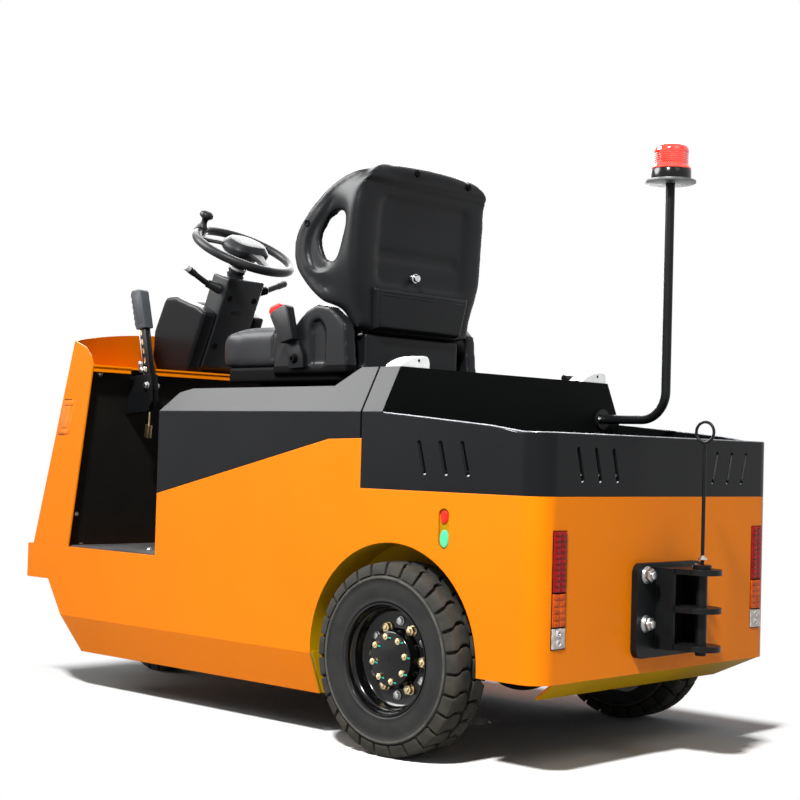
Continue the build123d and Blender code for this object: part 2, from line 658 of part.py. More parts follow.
def closed_loop(points, low, high):
    curve = Spline(*[(x, low, z) for x, z in points], periodic=True)
    return extrude(make_face(curve), high - low, dir=(0, 1, 0))


back_halves = [(seat_half + half, z) for half, z in
               [(-35, 143), (-27, 205), (-12, 255), (0, 305), (0, 445), (-8, 485), (-26, 525), (-62, 552),
                (-150, 566), (-seat_half, 568)]]
wing_front = seat_points([(66, 143), (88, 196), (133, 222), (177, 259), (211, 302), (223, 341), (215, 394),
                          (189, 430), (136, 483), (74, 532), (24, 568)])
back_roll = seat_points([(24, 568), (-6, 556), (-15, 510)])
back_foot = seat_points([(23, 143)])
recess_outline = seat_points([(69, 480), (45, 462), (48, 425), (64, 362), (81, 321), (110, 296), (152, 298),
                              (177, 337), (178, 370), (164, 401), (127, 441)])
handle_outline = seat_points([(84, 443), (63, 431), (60, 405), (72, 379), (80, 342), (96, 322), (119, 324),
                              (137, 346), (145, 374), (134, 405), (116, 430)])
cheek_outline = seat_points([(290, 40), (290, 61), (257, 113), (204, 171), (173, 197), (135, 212), (89, 204),
                             (57, 181), (34, 159), (23, 61), (23, 40)])
cheek_recess = seat_points([(194, 61), (176, 89), (170, 132), (149, 169), (126, 176), (105, 151), (101, 109),
                            (105, 61)])
cushion_outline = seat_points([(70, 61), (500, 61), (516, 80), (523, 103), (514, 131), (485, 150), (433, 160),
                               (341, 165), (70, 165)])
buckle_outline = seat_points([(283, 200), (276, 210), (244, 218), (219, 217), (212, 208), (190, 126),
                              (233, 116)])
stalk_outline = seat_points([(224, 120), (199, 124), (186, 84), (190, 66), (216, 62), (224, 84)])

seat_rails = both_sides(block((seat_x + 54, seat_x + 414), (130, 165), (seat_z, seat_z + 22)))
pan = block((seat_x + 39, cushion_front_x - 35), (-seat_half + 12, seat_half - 12), (seat_z + 22, cushion_low_z))
pan = fillet(pan.edges().filter_by(Axis.Z), 30)
pan += block((seat_x + 30, seat_x + 68), (-seat_half + 70, seat_half - 70), (seat_z + 22, back_low_z))
cheek = prism_y(cheek_outline, seat_half - cheek_t, seat_half)
cheek -= prism_y(cheek_recess, seat_half - 11, seat_half + 1)
nodes["seat_base"] = seat_rails + pan + both_sides(cheek)

# Wrap-round back: side profile and front view crossed, then hollowed so that wings and a roll are left
(foot_x, foot_z), (roll_x, roll_z) = back_foot[0], back_roll[-1]
back_side = make_face([side_curve(wing_front), side_curve(back_roll),
                       Line((roll_x, -seat_half, roll_z), (foot_x, -seat_half, foot_z)),
                       Line((foot_x, -seat_half, foot_z), (wing_front[0][0], -seat_half, foot_z))])
back = extrude(back_side, 2 * seat_half, dir=(0, 1, 0))
back &= extrude(Pos(seat_x - 60, 0, 0) * back_mask(0, 143), 400, dir=(1, 0, 0))
hollow = extrude(Pos(seat_x - 60, 0, 0) * back_mask(wing_wall, 120), 400, dir=(1, 0, 0))
hollow &= leaning(block((back_wall, 2 * seat_half), (-seat_half, seat_half), (-seat_half, seat_half)))
back -= hollow
wing_recess = closed_loop(recess_outline, seat_half - 9, seat_half + 1)
handle_slot = closed_loop(handle_outline, seat_half - wing_wall - 2, seat_half)
back -= both_sides(wing_recess + handle_slot)
panel_rise = tuple(z - back_pivot for z in panel_z)
panel = leaning(block((-30, 7), (-panel_half, panel_half), panel_rise))
panel = fillet(panel.edges().filter_by(GeomType.LINE).group_by(SortBy.LENGTH)[0], 25)
groove = leaning(block((0, 12), (-panel_half + 28, panel_half - 3), (-40, -10)))
back = back - panel - groove - nodes["seat_base"]
nodes["seat_back"] = back
pad = extrude(Pos(seat_x, 0, 0) * back_mask(wing_wall + 8, 174), 300, dir=(1, 0, 0))
nodes["seat_back_pad"] = pad & leaning(block((back_wall, back_wall + back_pad_t), (-seat_half, seat_half),
                                             (-seat_half, seat_half)))
cushion = prism_y(cushion_outline, -seat_half, seat_half)
rounded = block((seat_x + 70, cushion_front_x), (-seat_half, seat_half), (seat_z, seat_z + seat_half))
cushion &= fillet(rounded.edges().filter_by(Axis.Z).sort_by(Axis.X)[-2:], 45)
edge_z = cushion_low_z + cushion_h
cushion &= prism_x([(-seat_half, cushion_low_z), (-seat_half, edge_z - 22), (-seat_half + 8, edge_z - 8),
                    (-seat_half + 24, edge_z), (seat_half - 24, edge_z), (seat_half - 8, edge_z - 8),
                    (seat_half, edge_z - 22), (seat_half, cushion_low_z)], seat_x, cushion_front_x + 1)
gusset_y = seat_half - cheek_t - 2
nodes["seat_cushion"] = cushion - both_sides(block((seat_x, seat_x + 292), (gusset_y, seat_half + 1),
                                                   (cushion_low_z, edge_z + 1)))
buckle = prism_y(buckle_outline, seat_half + 3, seat_half + 29)
buckle += prism_y(stalk_outline, seat_half, seat_half + 6)
buckle += rod_y(seat_x + 207, seat_z + 78, 9, seat_half, seat_half + 14)
nodes["belt_buckle"] = buckle


# Steering column: outlines are given from the rear edge of the upright's shelf
def shelf_points(outline):
    return [(cowl_top_rear_x + x, cowl_shelf_z + z) for x, z in outline]


tilt = Rot(0, -wheel_tilt, 0)
hub = Pos(wheel_x, 0, wheel_z)
neck = hub * tilt * (Pos(0, 0, -78) * Cylinder(21, 60) + Pos(0, 0, -39) * Cylinder(shaft_r, 54))
housing_side = shelf_points([(-106, 258), (-34, 280), (66, 45), (121, 0), (26, 0), (2, 16)])
housing = prism_y(housing_side, -column_half, column_half)
nodes["column_housing"] = housing
nodes["column_neck"] = neck - housing
pod_side = shelf_points([(4, 24), (-58, 158), (-46, 184), (-10, 200), (56, 216), (112, 216), (124, 208),
                         (169, 120), (174, 40), (150, 0), (16, 0)])
pod = prism_y(pod_side, -pod_half, pod_half)
pod = fillet(pod.edges().filter_by(Axis.Y), 8)
nodes["instrument_pod"] = pod - housing


def arm_between(start, end, low_r, high_r):
    return Plane(origin=start, z_dir=end - start) * Cone(low_r, high_r, (end - start).length,
                                                         align=(Align.CENTER, Align.CENTER, Align.MIN))


def lever_arm(side, tip):
    places = [(-58, 232, column_half - 8), (-62, 244, column_half + 45), (*tip, lever_reach)]
    start, mid, end = [Vector(cowl_top_rear_x + x, side * y, cowl_shelf_z + z) for x, z, y in places]
    return arm_between(start, mid, 13, 10) + arm_between(mid, end, 7.6, 7.4) + Pos(*mid) * Sphere(10.5)


nodes["column_levers"] = lever_arm(1, (-66, 282)) + lever_arm(-1, (-48, 272)) - housing

# Steering wheel with its hub, three spokes and the spinner knob
ring = Torus(wheel_ring_r, wheel_grip_r)
boss = Pos(0, 0, -4) * Cylinder(30, 44) - Pos(0, 0, -26) * Cylinder(shaft_r + running_fit, 30)
wheel = ring + boss
for turn in (180, 60, -60):
    wheel += Rot(0, 0, turn) * Pos(wheel_ring_r / 2 + 8, 0, 0) * Box(wheel_ring_r - 16, 24, 11)
horn_pad = Pos(0, 0, 13) * Cylinder(horn_pad_r, 18)
wheel += fillet(horn_pad.edges().sort_by(Axis.Z)[-1:], 7)
nodes["steering_wheel"] = hub * tilt * wheel
knob = Pos(0, 0, 22) * Cylinder(8, 30) + Pos(0, 0, 44) * Sphere(20) + Pos(0, 0, 4) * Cylinder(17, 26)
knob -= Torus(wheel_ring_r, wheel_grip_r).moved(Location((-wheel_ring_r, 0, 0)))
nodes["spinner_knob"] = hub * tilt * Rot(0, 0, knob_turn) * Pos(wheel_ring_r, 0, 0) * knob


# Parking brake lever in its quadrant, from its pivot, and the two pedals, from the deck under the liner
def pivot_points(outline):
    return [(lever_pivot_x + x, lever_pivot_z + z) for x, z in outline]


def deck_points(outline):
    return [(wheelbase + x, deck_z + z) for x, z in outline]


grip = prism_y(pivot_points([(15, 156), (57, 152), (87, 258), (45, 262)]), lever_y - 15, lever_y + 15)
grip = fillet(grip.edges().filter_by(Axis.Y), 6)
shaft = prism_y(pivot_points([(-12, -16), (8, -16), (49, 156), (25, 156)]), lever_y - 6, lever_y + 6)
nodes["brake_lever"] = grip + shaft - rod_y(lever_pivot_x, lever_pivot_z, lever_pin_r, lever_y - 20, lever_y + 20)
foot_z, head_z = lever_pivot_z - 77, lever_pivot_z + 23
quadrant_side = pivot_points([(22, 30), (-12, 30), (-18, -42), (2, -70)]) + [
    (liner_x(foot_z), foot_z), (liner_x(head_z), head_z)]
quadrant = rod_y(lever_pivot_x, lever_pivot_z, lever_pin_r, lever_y - 18, lever_y + 18)
for low in (-12, 7):
    quadrant += prism_y(quadrant_side, lever_y + low, lever_y + low + 5)
nodes["brake_quadrant"] = quadrant
pedal = prism_y(deck_points([(-207, 95), (-185, 105), (-213, 185), (-235, 175)]), -45, 45)
arm_low_z, arm_high_z = deck_z + 325, deck_z + 337
arm = prism_y(deck_points([(-197, 105), (-185, 115)]) + [(liner_x(arm_low_z), arm_low_z),
                                                        (liner_x(arm_high_z), arm_high_z)], -8, 8)
nodes["brake_pedal"] = Pos(0, 40, 0) * (pedal + arm)
go_pedal = deck_points([(-315, floor_t), (-175, 65), (-181, 79), (-325, 17), (-325, floor_t)])
nodes["accelerator_pedal"] = prism_y(go_pedal, 264 - body_half, 334 - body_half)

# Beacon on its bent pole
pole_start = (tray_wall_x - 1, pole_y, pole_foot_z)
pole_line = FilletPolyline(pole_start, (pole_x, pole_y, pole_foot_z), (pole_x, pole_y, beacon_z - 4),
                           radius=pole_bend)
pole = sweep(Plane(origin=pole_start, z_dir=(-1, 0, 0)) * Circle(pole_r), path=pole_line)
pole += rod_x(pole_y, pole_foot_z, pole_flange_r, tray_wall_x - 7, tray_wall_x)
nodes["beacon_pole"] = pole
base_top_z = beacon_z + 30
nodes["beacon_base"] = (rod_z(pole_x, pole_y, beacon_disc_r, beacon_z - 4, beacon_z + 4)
                        + rod_z(pole_x, pole_y, beacon_base_r, beacon_z + 3, base_top_z))
lens = rod_z(pole_x, pole_y, lens_r, base_top_z, base_top_z + lens_h)
nodes["beacon_lens"] = fillet(lens.edges().filter_by(GeomType.CIRCLE).sort_by(Axis.Z)[-1:], 8)

# White moulded caps on top of the raised wall, in front of the hinges
cap_rear = tray_wall_x + 4
cap_low, cap_high = cover_top_z + 3, cover_top_z + cap_h
cap = prism_x([(cap_y[0], cap_low), (cap_y[0], cap_high - 6), (cap_y[0] + 12, cap_high),
               (cap_y[1] - 40, cap_high), (cap_y[1], cap_low + 3), (cap_y[1], cap_low)], cap_rear, seam_x - 10)
cap += block((cap_rear, seam_x - 45), cap_y, (cover_top_z, cap_low))
nodes["hinge_cap_left"] = cap
nodes["hinge_cap_right"] = mirror(cap, Plane.XZ)

# Every piece moves along x to the shared origin and is written to its own file
for name, piece in nodes.items():
    placed = Pos(shift_x, 0, 0) * piece
    export_step(placed, f"parts/{name}.step")
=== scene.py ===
import json
from math import cos, hypot, pi, radians, sin, sqrt

import bmesh
import bpy
from mathutils import Matrix, Vector
from mathutils.bvhtree import BVHTree
from mathutils.kdtree import KDTree

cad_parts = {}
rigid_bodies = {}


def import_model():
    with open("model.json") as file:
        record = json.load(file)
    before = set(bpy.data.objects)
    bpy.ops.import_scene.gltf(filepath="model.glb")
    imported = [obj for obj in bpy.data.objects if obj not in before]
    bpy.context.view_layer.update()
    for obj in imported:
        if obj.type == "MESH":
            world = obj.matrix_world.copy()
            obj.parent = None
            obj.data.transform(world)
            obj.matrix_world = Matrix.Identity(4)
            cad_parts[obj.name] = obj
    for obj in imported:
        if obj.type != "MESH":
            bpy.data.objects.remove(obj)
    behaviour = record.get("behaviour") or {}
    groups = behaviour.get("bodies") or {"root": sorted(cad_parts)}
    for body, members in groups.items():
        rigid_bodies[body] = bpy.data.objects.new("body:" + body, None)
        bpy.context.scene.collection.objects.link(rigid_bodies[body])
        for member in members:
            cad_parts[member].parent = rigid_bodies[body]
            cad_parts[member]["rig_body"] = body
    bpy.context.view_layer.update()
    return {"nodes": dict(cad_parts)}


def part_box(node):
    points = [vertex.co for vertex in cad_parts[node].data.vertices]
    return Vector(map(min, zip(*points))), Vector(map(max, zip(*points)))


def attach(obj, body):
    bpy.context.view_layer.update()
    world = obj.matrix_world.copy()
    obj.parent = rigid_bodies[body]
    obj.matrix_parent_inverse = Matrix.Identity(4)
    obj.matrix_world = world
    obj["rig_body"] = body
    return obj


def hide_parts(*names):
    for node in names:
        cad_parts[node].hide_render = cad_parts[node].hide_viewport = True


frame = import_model()
cadNodes = frame["nodes"]
tyreLow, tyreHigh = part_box("rear_tyre_left")
axleX = (tyreLow.x + tyreHigh.x) / 2  # sizes below are in mm, measured from the rear axle, on the ground
print("frame loaded with", len(cadNodes), "nodes")


# Colours and nodes
def hexColour(text):
    values = [int(text[i:i + 2], 16) / 255 for i in (1, 3, 5)]
    return tuple(v / 12.92 if v <= 0.04045 else ((v + 0.055) / 1.055) ** 2.4 for v in values) + (1,)


def addNode(tree, kind, inputs=None, **settings):
    node = tree.nodes.new(kind)
    for key, value in settings.items():
        setattr(node, key, value)
    for key, value in (inputs or {}).items():
        if isinstance(value, bpy.types.NodeSocket):
            tree.links.new(value, node.inputs[key])
        else:
            node.inputs[key].default_value = value
    return node


# A finish: colour that drifts between two tones, roughness that drifts with it, grain in the
# normal and a softened edge. Grain and drift are given in mm.
def makeFinish(name, spec):
    material = bpy.data.materials.new(name)
    material.use_nodes = True
    tree = material.node_tree
    tree.nodes.clear()
    place = addNode(tree, "ShaderNodeTexCoord").outputs["Object"]
    drift = addNode(tree, "ShaderNodeTexNoise", {"Vector": place, "Scale": 1000 / spec["driftMm"], "Detail": 5,
                                                 "Roughness": 0.6}).outputs["Fac"]
    spread = addNode(tree, "ShaderNodeMapRange", {"Value": drift, "From Min": 0.35, "From Max": 0.68}).outputs[0]
    colour = addNode(tree, "ShaderNodeMix", {0: spread, 6: hexColour(spec["colour"]), 7: hexColour(spec["drifted"])},
                     data_type="RGBA").outputs[2]
    rough = addNode(tree, "ShaderNodeMapRange", {"Value": drift, "To Min": spec["rough"] - spec["roughDrift"],
                                                 "To Max": spec["rough"] + spec["roughDrift"]}).outputs[0]
    if spec.get("cells"):
        grain = addNode(tree, "ShaderNodeTexVoronoi", {"Vector": place, "Scale": 1000 / spec["grainMm"],
                                                       "Randomness": 0.9}, feature="SMOOTH_F1").outputs["Distance"]
    else:
        grain = addNode(tree, "ShaderNodeTexNoise", {"Vector": place, "Scale": 1000 / spec["grainMm"],
                                                     "Detail": 2}).outputs["Fac"]
    bump = addNode(tree, "ShaderNodeBump", {"Height": grain, "Distance": spec["grainDeepMm"] / 1000,
                                            "Strength": spec.get("grain", 0.5)})
    if spec.get("edgeMm"):
        soft = addNode(tree, "ShaderNodeBevel", {"Radius": spec["edgeMm"] / 1000}, samples=4)
        tree.links.new(soft.outputs[0], bump.inputs["Normal"])
    shader = addNode(tree, "ShaderNodeBsdfPrincipled", {
        "Base Color": colour, "Roughness": rough, "Normal": bump.outputs[0], "Metallic": spec.get("metal", 0),
        "IOR": spec.get("ior", 1.5), "Coat Weight": spec.get("coat", 0), "Coat Roughness": spec.get("coatRough", 0.1),
        "Sheen Weight": spec.get("sheen", 0), "Emission Color": hexColour(spec["drifted"]),
        "Emission Strength": spec.get("glow", 0)})
    addNode(tree, "ShaderNodeOutputMaterial", {"Surface": shader.outputs[0]})
    return material


finishSpecs = {
    # powder coat on sheet steel: the faint ripple of sprayed paint under a soft gloss
    "powderCoatOrange": {"colour": "#E87B02", "drifted": "#EC8004", "driftMm": 420, "rough": 0.34, "roughDrift": 0.04,
                         "grainMm": 2.4, "grainDeepMm": 0.05, "grain": 0.25, "ior": 1.2, "edgeMm": 2.2},
    # the same orange with painted shade: darker and olive in the wheelhouses, underneath, on the webs behind the skirts
    # and behind the call buttons
    "powderCoatPaintedShade": {"colour": "#A88204", "drifted": "#B08A04", "driftMm": 160, "rough": 0.5, "roughDrift": 0.06,
                        "grainMm": 2.4, "grainDeepMm": 0.08, "grain": 0.3, "ior": 1.15, "edgeMm": 1.5},
    # vacuum-formed plastic with a fine satin grain, grey only where it faces the sky
    "formedAbsBlack": {"colour": "#0F1012", "drifted": "#131416", "driftMm": 240, "rough": 0.33, "roughDrift": 0.03,
                       "grainMm": 1.6, "grainDeepMm": 0.05, "grain": 0.3, "ior": 1.2, "edgeMm": 2.5},
    # satin powder coat on hot-rolled steel, a little uneven
    "powderCoatBlack": {"colour": "#101112", "drifted": "#151617", "driftMm": 60, "rough": 0.4, "roughDrift": 0.08,
                        "grainMm": 2.2, "grainDeepMm": 0.1, "grain": 0.4, "ior": 1.24, "edgeMm": 1.2},
    # matt sheet behind the feet: swallows the light
    "mattSheetBlack": {"colour": "#0E0D0B", "drifted": "#15130F", "driftMm": 160, "rough": 0.72, "roughDrift": 0.08,
                       "grainMm": 2, "grainDeepMm": 0.08, "grain": 0.4, "ior": 1.22, "edgeMm": 1},
    # the tray's floor and front wall: the same sheet as the covers, painted darker and duller for the shade that falls
    # there
    "trayPaintedShadeBlack": {"colour": "#060707", "drifted": "#0A0B0B", "driftMm": 120, "rough": 0.6, "roughDrift": 0.1,
                       "grainMm": 2.4, "grainDeepMm": 0.1, "grain": 0.5, "ior": 1.12, "edgeMm": 2},
    # rubber mat with fine grain and dust in it
    "rubberMatGrey": {"colour": "#3A3A3B", "drifted": "#5B5A58", "driftMm": 90, "rough": 0.75, "roughDrift": 0.1,
                      "grainMm": 3, "grainDeepMm": 0.4, "grain": 0.8, "cells": True, "ior": 1.35, "edgeMm": 1},
    # painted battery box
    "boxPaintGrey": {"colour": "#3D4044", "drifted": "#484B4F", "driftMm": 200, "rough": 0.5, "roughDrift": 0.06,
                     "grainMm": 2.5, "grainDeepMm": 0.06, "grain": 0.3, "edgeMm": 3},
    # painted sand castings: coarse, dull and blotched
    "castIronDark": {"colour": "#1E1D1B", "drifted": "#2E2B28", "driftMm": 70, "rough": 0.65, "roughDrift": 0.12,
                     "grainMm": 2.5, "grainDeepMm": 0.5, "grain": 0.7, "ior": 1.3, "edgeMm": 2},
    # tyre wall: smooth moulded rubber with scuffs
    "tyreRubber": {"colour": "#1F1F1F", "drifted": "#2A2A29", "driftMm": 55, "rough": 0.6, "roughDrift": 0.1,
                   "grainMm": 1.8, "grainDeepMm": 0.12, "grain": 0.45, "ior": 1.25},
    # raised ring of the tyre wall, where dust stays
    "tyreRingDust": {"colour": "#3F3E3B", "drifted": "#5A5852", "driftMm": 30, "rough": 0.8, "roughDrift": 0.1,
                     "grainMm": 1.8, "grainDeepMm": 0.15, "grain": 0.5, "ior": 1.25},
    # tread: greyer and brown with floor dust
    "tyreTreadRubber": {"colour": "#2A2A27", "drifted": "#403D36", "driftMm": 40, "rough": 0.75, "roughDrift": 0.1,
                        "grainMm": 1.8, "grainDeepMm": 0.2, "grain": 0.6, "ior": 1.25},
    # gloss black stove enamel on a pressed rim
    "rimEnamel": {"colour": "#060607", "drifted": "#0A0A0B", "driftMm": 50, "rough": 0.17, "roughDrift": 0.05,
                  "grainMm": 3, "grainDeepMm": 0.03, "grain": 0.2, "coat": 0.15, "coatRough": 0.08, "ior": 1.3},
    # vinyl over foam, with leather grain
    "seatVinyl": {"colour": "#1A1B1E", "drifted": "#212226", "driftMm": 120, "rough": 0.42, "roughDrift": 0.05,
                  "grainMm": 2.2, "grainDeepMm": 0.14, "grain": 0.4, "cells": True, "ior": 1.28, "sheen": 0.02},
    # blow-moulded polypropylene: satin, very even
    "seatShellPlastic": {"colour": "#121315", "drifted": "#161719", "driftMm": 150, "rough": 0.36, "roughDrift": 0.03,
                         "grainMm": 1.8, "grainDeepMm": 0.06, "grain": 0.3, "ior": 1.25},
    # glass-filled nylon of column, pod and levers
    "controlNylon": {"colour": "#141517", "drifted": "#1A1B1D", "driftMm": 60, "rough": 0.42, "roughDrift": 0.05,
                     "grainMm": 1.6, "grainDeepMm": 0.06, "grain": 0.35, "ior": 1.3, "edgeMm": 1.6},
    # soft PVC grip, greyer than the rest
    "gripPvcGrey": {"colour": "#3C3F43", "drifted": "#46494D", "driftMm": 60, "rough": 0.5, "roughDrift": 0.06,
                    "grainMm": 1.6, "grainDeepMm": 0.1, "grain": 0.4, "ior": 1.28},
    "tipPlasticPale": {"colour": "#C9CCD0", "drifted": "#B4B7BB", "driftMm": 20, "rough": 0.4, "roughDrift": 0.05,
                       "grainMm": 1.6, "grainDeepMm": 0.06, "grain": 0.3},
    # near black: painted shade in screw holes and cups and on the seat's plinth; also the black of the lamp cases and
    # the buckle bolt
    "recessBlackPaintedShade": {"colour": "#050505", "drifted": "#080808", "driftMm": 30, "rough": 0.6, "roughDrift": 0.05,
                    "grainMm": 2, "grainDeepMm": 0.03, "grain": 0.2, "ior": 1.12},
    # bright zinc plate, dulled in patches
    "zincPlate": {"colour": "#C9CACA", "drifted": "#A5A5A4", "driftMm": 9, "rough": 0.3, "roughDrift": 0.1,
                  "grainMm": 2, "grainDeepMm": 0.03, "grain": 0.4, "metal": 1},
    # yellow chromate on nuts, with its rainbow tint
    "yellowChromate": {"colour": "#EBDDB0", "drifted": "#D6B58C", "driftMm": 8, "rough": 0.32, "roughDrift": 0.1,
                       "grainMm": 2, "grainDeepMm": 0.03, "grain": 0.4, "metal": 1},
    "chromePlate": {"colour": "#D8DADB", "drifted": "#C2C4C6", "driftMm": 12, "rough": 0.12, "roughDrift": 0.04,
                    "grainMm": 3, "grainDeepMm": 0.01, "grain": 0.2, "metal": 1},
    # rolled sheet of the beacon's plate
    "discSteelGrey": {"colour": "#6E7070", "drifted": "#5C5E5E", "driftMm": 30, "rough": 0.45, "roughDrift": 0.08,
                      "grainMm": 2, "grainDeepMm": 0.05, "grain": 0.3, "metal": 0.6},
    # painted highlight: a pale grey bead along the tray's rim, where the formed cover's edge takes the light
    "rimPaintedHighlight": {"colour": "#8E9196", "drifted": "#6A6D71", "driftMm": 25, "rough": 0.3, "roughDrift": 0.08,
                     "grainMm": 2, "grainDeepMm": 0.04, "grain": 0.3},
    # injection-moulded lenses: saturated, glossy, with the optics' ripple
    "lensRed": {"colour": "#7E080A", "drifted": "#A51012", "driftMm": 14, "rough": 0.16, "roughDrift": 0.06,
                "grainMm": 4, "grainDeepMm": 0.2, "grain": 0.5, "coat": 0.05, "coatRough": 0.06, "ior": 1.22},
    "lensRedBright": {"colour": "#D8261C", "drifted": "#EE4636", "driftMm": 16, "rough": 0.14, "roughDrift": 0.05,
                      "grainMm": 5, "grainDeepMm": 0.15, "grain": 0.4, "coat": 0.6, "coatRough": 0.05, "glow": 0.22},
    "lensAmber": {"colour": "#D65A06", "drifted": "#B04206", "driftMm": 14, "rough": 0.16, "roughDrift": 0.06,
                  "grainMm": 4, "grainDeepMm": 0.2, "grain": 0.5, "coat": 0.05, "coatRough": 0.06, "ior": 1.22},
    # paler lens of the markers, close to the paint round it
    "lensOrange": {"colour": "#E87A06", "drifted": "#EE8B3C", "driftMm": 26, "rough": 0.2, "roughDrift": 0.06,
                   "grainMm": 5, "grainDeepMm": 0.2, "grain": 0.5, "ior": 1.22},
    "lensShadow": {"colour": "#5E1E02", "drifted": "#7A2A02", "driftMm": 20, "rough": 0.4, "roughDrift": 0.06,
                   "grainMm": 3, "grainDeepMm": 0.05, "grain": 0.3, "ior": 1.2},
    "lensClear": {"colour": "#C9C3BE", "drifted": "#8F8883", "driftMm": 10, "rough": 0.14, "roughDrift": 0.06,
                  "grainMm": 4, "grainDeepMm": 0.3, "grain": 0.6, "coat": 0.6, "coatRough": 0.05},
    # white plastic caps; their glow is painted light that brightens them beyond what the lamps give
    "capPlasticWhite": {"colour": "#F7F8F7", "drifted": "#E2E3E2", "driftMm": 20, "rough": 0.45, "roughDrift": 0.06,
                        "grainMm": 2, "grainDeepMm": 0.1, "grain": 0.4, "ior": 1.3, "glow": 0.14},
    # painted highlight: pale, glowing lips at the foot of the cover's slots, where they catch the light
    "slotLipPaintedHighlight": {"colour": "#E6E8EA", "drifted": "#C9CCCF", "driftMm": 8, "rough": 0.3, "roughDrift": 0.05,
                   "grainMm": 2, "grainDeepMm": 0.02, "grain": 0.2, "glow": 0.3},
    # red and green buttons; their glow is painted light, for they are no lamps
    "buttonRed": {"colour": "#D8241C", "drifted": "#E22E22", "driftMm": 30, "rough": 0.35, "roughDrift": 0.04,
                  "grainMm": 2, "grainDeepMm": 0.03, "grain": 0.3, "ior": 1.25, "glow": 0.12},
    "buttonGreen": {"colour": "#44CF90", "drifted": "#5ADBA0", "driftMm": 30, "rough": 0.35, "roughDrift": 0.04,
                    "grainMm": 2, "grainDeepMm": 0.03, "grain": 0.3, "ior": 1.25, "glow": 0.1},
    "paintMarkTeal": {"colour": "#12A08F", "drifted": "#1BB5A2", "driftMm": 6, "rough": 0.5, "roughDrift": 0.05,
                      "grainMm": 1.5, "grainDeepMm": 0.1, "grain": 0.4},
}
finishes = {name: makeFinish(name, spec) for name, spec in finishSpecs.items()}
print("finishes made:", len(finishes))

# CAD nodes that stay get the finish of what they are
nodeFinishes = {
    "powderCoatOrange": ["body_shell", "front_cowl"],
    "formedAbsBlack": ["battery_hood", "rear_cover"],
    "powderCoatBlack": ["tow_hitch", "beacon_pole", "chassis_frame", "steer_fork", "hood_hinges", "tow_pin",
                        "brake_quadrant", "seat_base", "brake_pedal"],
    "mattSheetBlack": ["cowl_liner"],
    "rubberMatGrey": ["floor_plate", "accelerator_pedal"],
    "boxPaintGrey": ["battery_block"],
    "castIronDark": ["drive_axle", "drive_motor"],
    "tyreRubber": ["rear_tyre_left", "rear_tyre_right", "front_tyre"],
    "rimEnamel": ["rear_rim_left", "rear_rim_right", "front_rim"],
    "seatVinyl": ["seat_cushion", "seat_back_pad"],
    "seatShellPlastic": ["seat_back"],
    "controlNylon": ["column_housing", "column_neck", "column_levers", "instrument_pod", "steering_wheel",
                     "spinner_knob", "belt_buckle", "beacon_base", "brake_lever"],
    "lensRed": ["beacon_lens", "tail_lamp_left", "tail_lamp_right", "side_indicator"],
    "lensAmber": ["marker_lamp_left", "marker_lamp_right"],
    "lensClear": ["headlamp_left", "headlamp_right"],
    "capPlasticWhite": ["hinge_cap_left", "hinge_cap_right"],
}
for finish, names in nodeFinishes.items():
    for name in names:
        cadNodes[name].data.materials.clear()
        cadNodes[name].data.materials.append(finishes[finish])
bodyOf = {name: cadNodes[name]["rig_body"] for name in cadNodes}


def paintWhere(mesh, finish, chosen):
    # gives the faces picked by chosen(x, y, z, normal), in mm from the rear axle, another finish
    mesh.materials.append(finishes[finish])
    for face in mesh.polygons:
        spot = (face.center - Vector((axleX, 0, 0))) * 1000
        if chosen(spot.x, abs(spot.y), spot.z, face.normal):
            face.material_index = len(mesh.materials) - 1


# Where the shell and the rear cover take painted shade: undersides, wheelhouses, and the tray's floor and front wall
inside = {"archX": 15, "archR": 262, "archTop": 470, "archY": (335, 433.9), "tailX": -330, "down": -0.8,
          "wallX": 40, "trayX": (-387, 50), "trayY": 434, "trayLow": 605, "corner": (-342, 389), "cornerR": 46}


def isShaded(x, y, z, normal):
    low, high = inside["archY"]
    inArch = abs(x - inside["archX"]) < inside["archR"] and z < inside["archTop"] and low < y < high
    return inArch or normal.z < inside["down"] or (x < inside["tailX"] and normal.z < -0.3)


def isInTray(x, y, z, normal):
    rear, front = inside["trayX"]
    bendX, bendY = inside["corner"]
    onCorner = x < bendX and y > bendY and hypot(x - bendX, y - bendY) > inside["cornerR"]
    onFloor = rear < x < front and y < inside["trayY"] and z > inside["trayLow"] and not onCorner
    return onFloor or (normal.x < -0.8 and x > inside["wallX"])


paintWhere(cadNodes["body_shell"].data, "powderCoatPaintedShade", isShaded)
paintWhere(cadNodes["rear_cover"].data, "trayPaintedShadeBlack", isInTray)


# Mesh helpers: everything is drawn in mm and settled in metres
def axes(x, y, z, origin=(0, 0, 0)):
    placed = Matrix((x, y, z)).transposed().to_4x4()
    placed.translation = Vector(origin)
    return placed


def sideOn(y, x=0, z=0):
    return axes((1, 0, 0), (0, 0, 1), (0, -1, 0), (x, y, z))  # drawn as (x, z), its depth running to the right


def frontOn(x, y=0, z=0):
    return axes((0, 1, 0), (0, 0, 1), (1, 0, 0), (x, y, z))  # drawn as (y, z), its depth running forward


def axleOn(x, y, z, side=1):
    return axes((0, 0, 1), (side, 0, 0), (0, side, 0), (x, y, z))  # turned about the wheel's axle, z outwards


def addRings(bm, rings, closed=True, capStart=False, capEnd=False):
    rows = [[bm.verts.new(p) for p in ring] for ring in rings]
    count = len(rows[0])
    for low, high in zip(rows, rows[1:]):
        for i in range(count if closed else count - 1):
            j = (i + 1) % count
            bm.faces.new((low[i], low[j], high[j], high[i]))
    if capStart:
        bm.faces.new(rows[0][::-1])
    if capEnd:
        bm.faces.new(rows[-1])


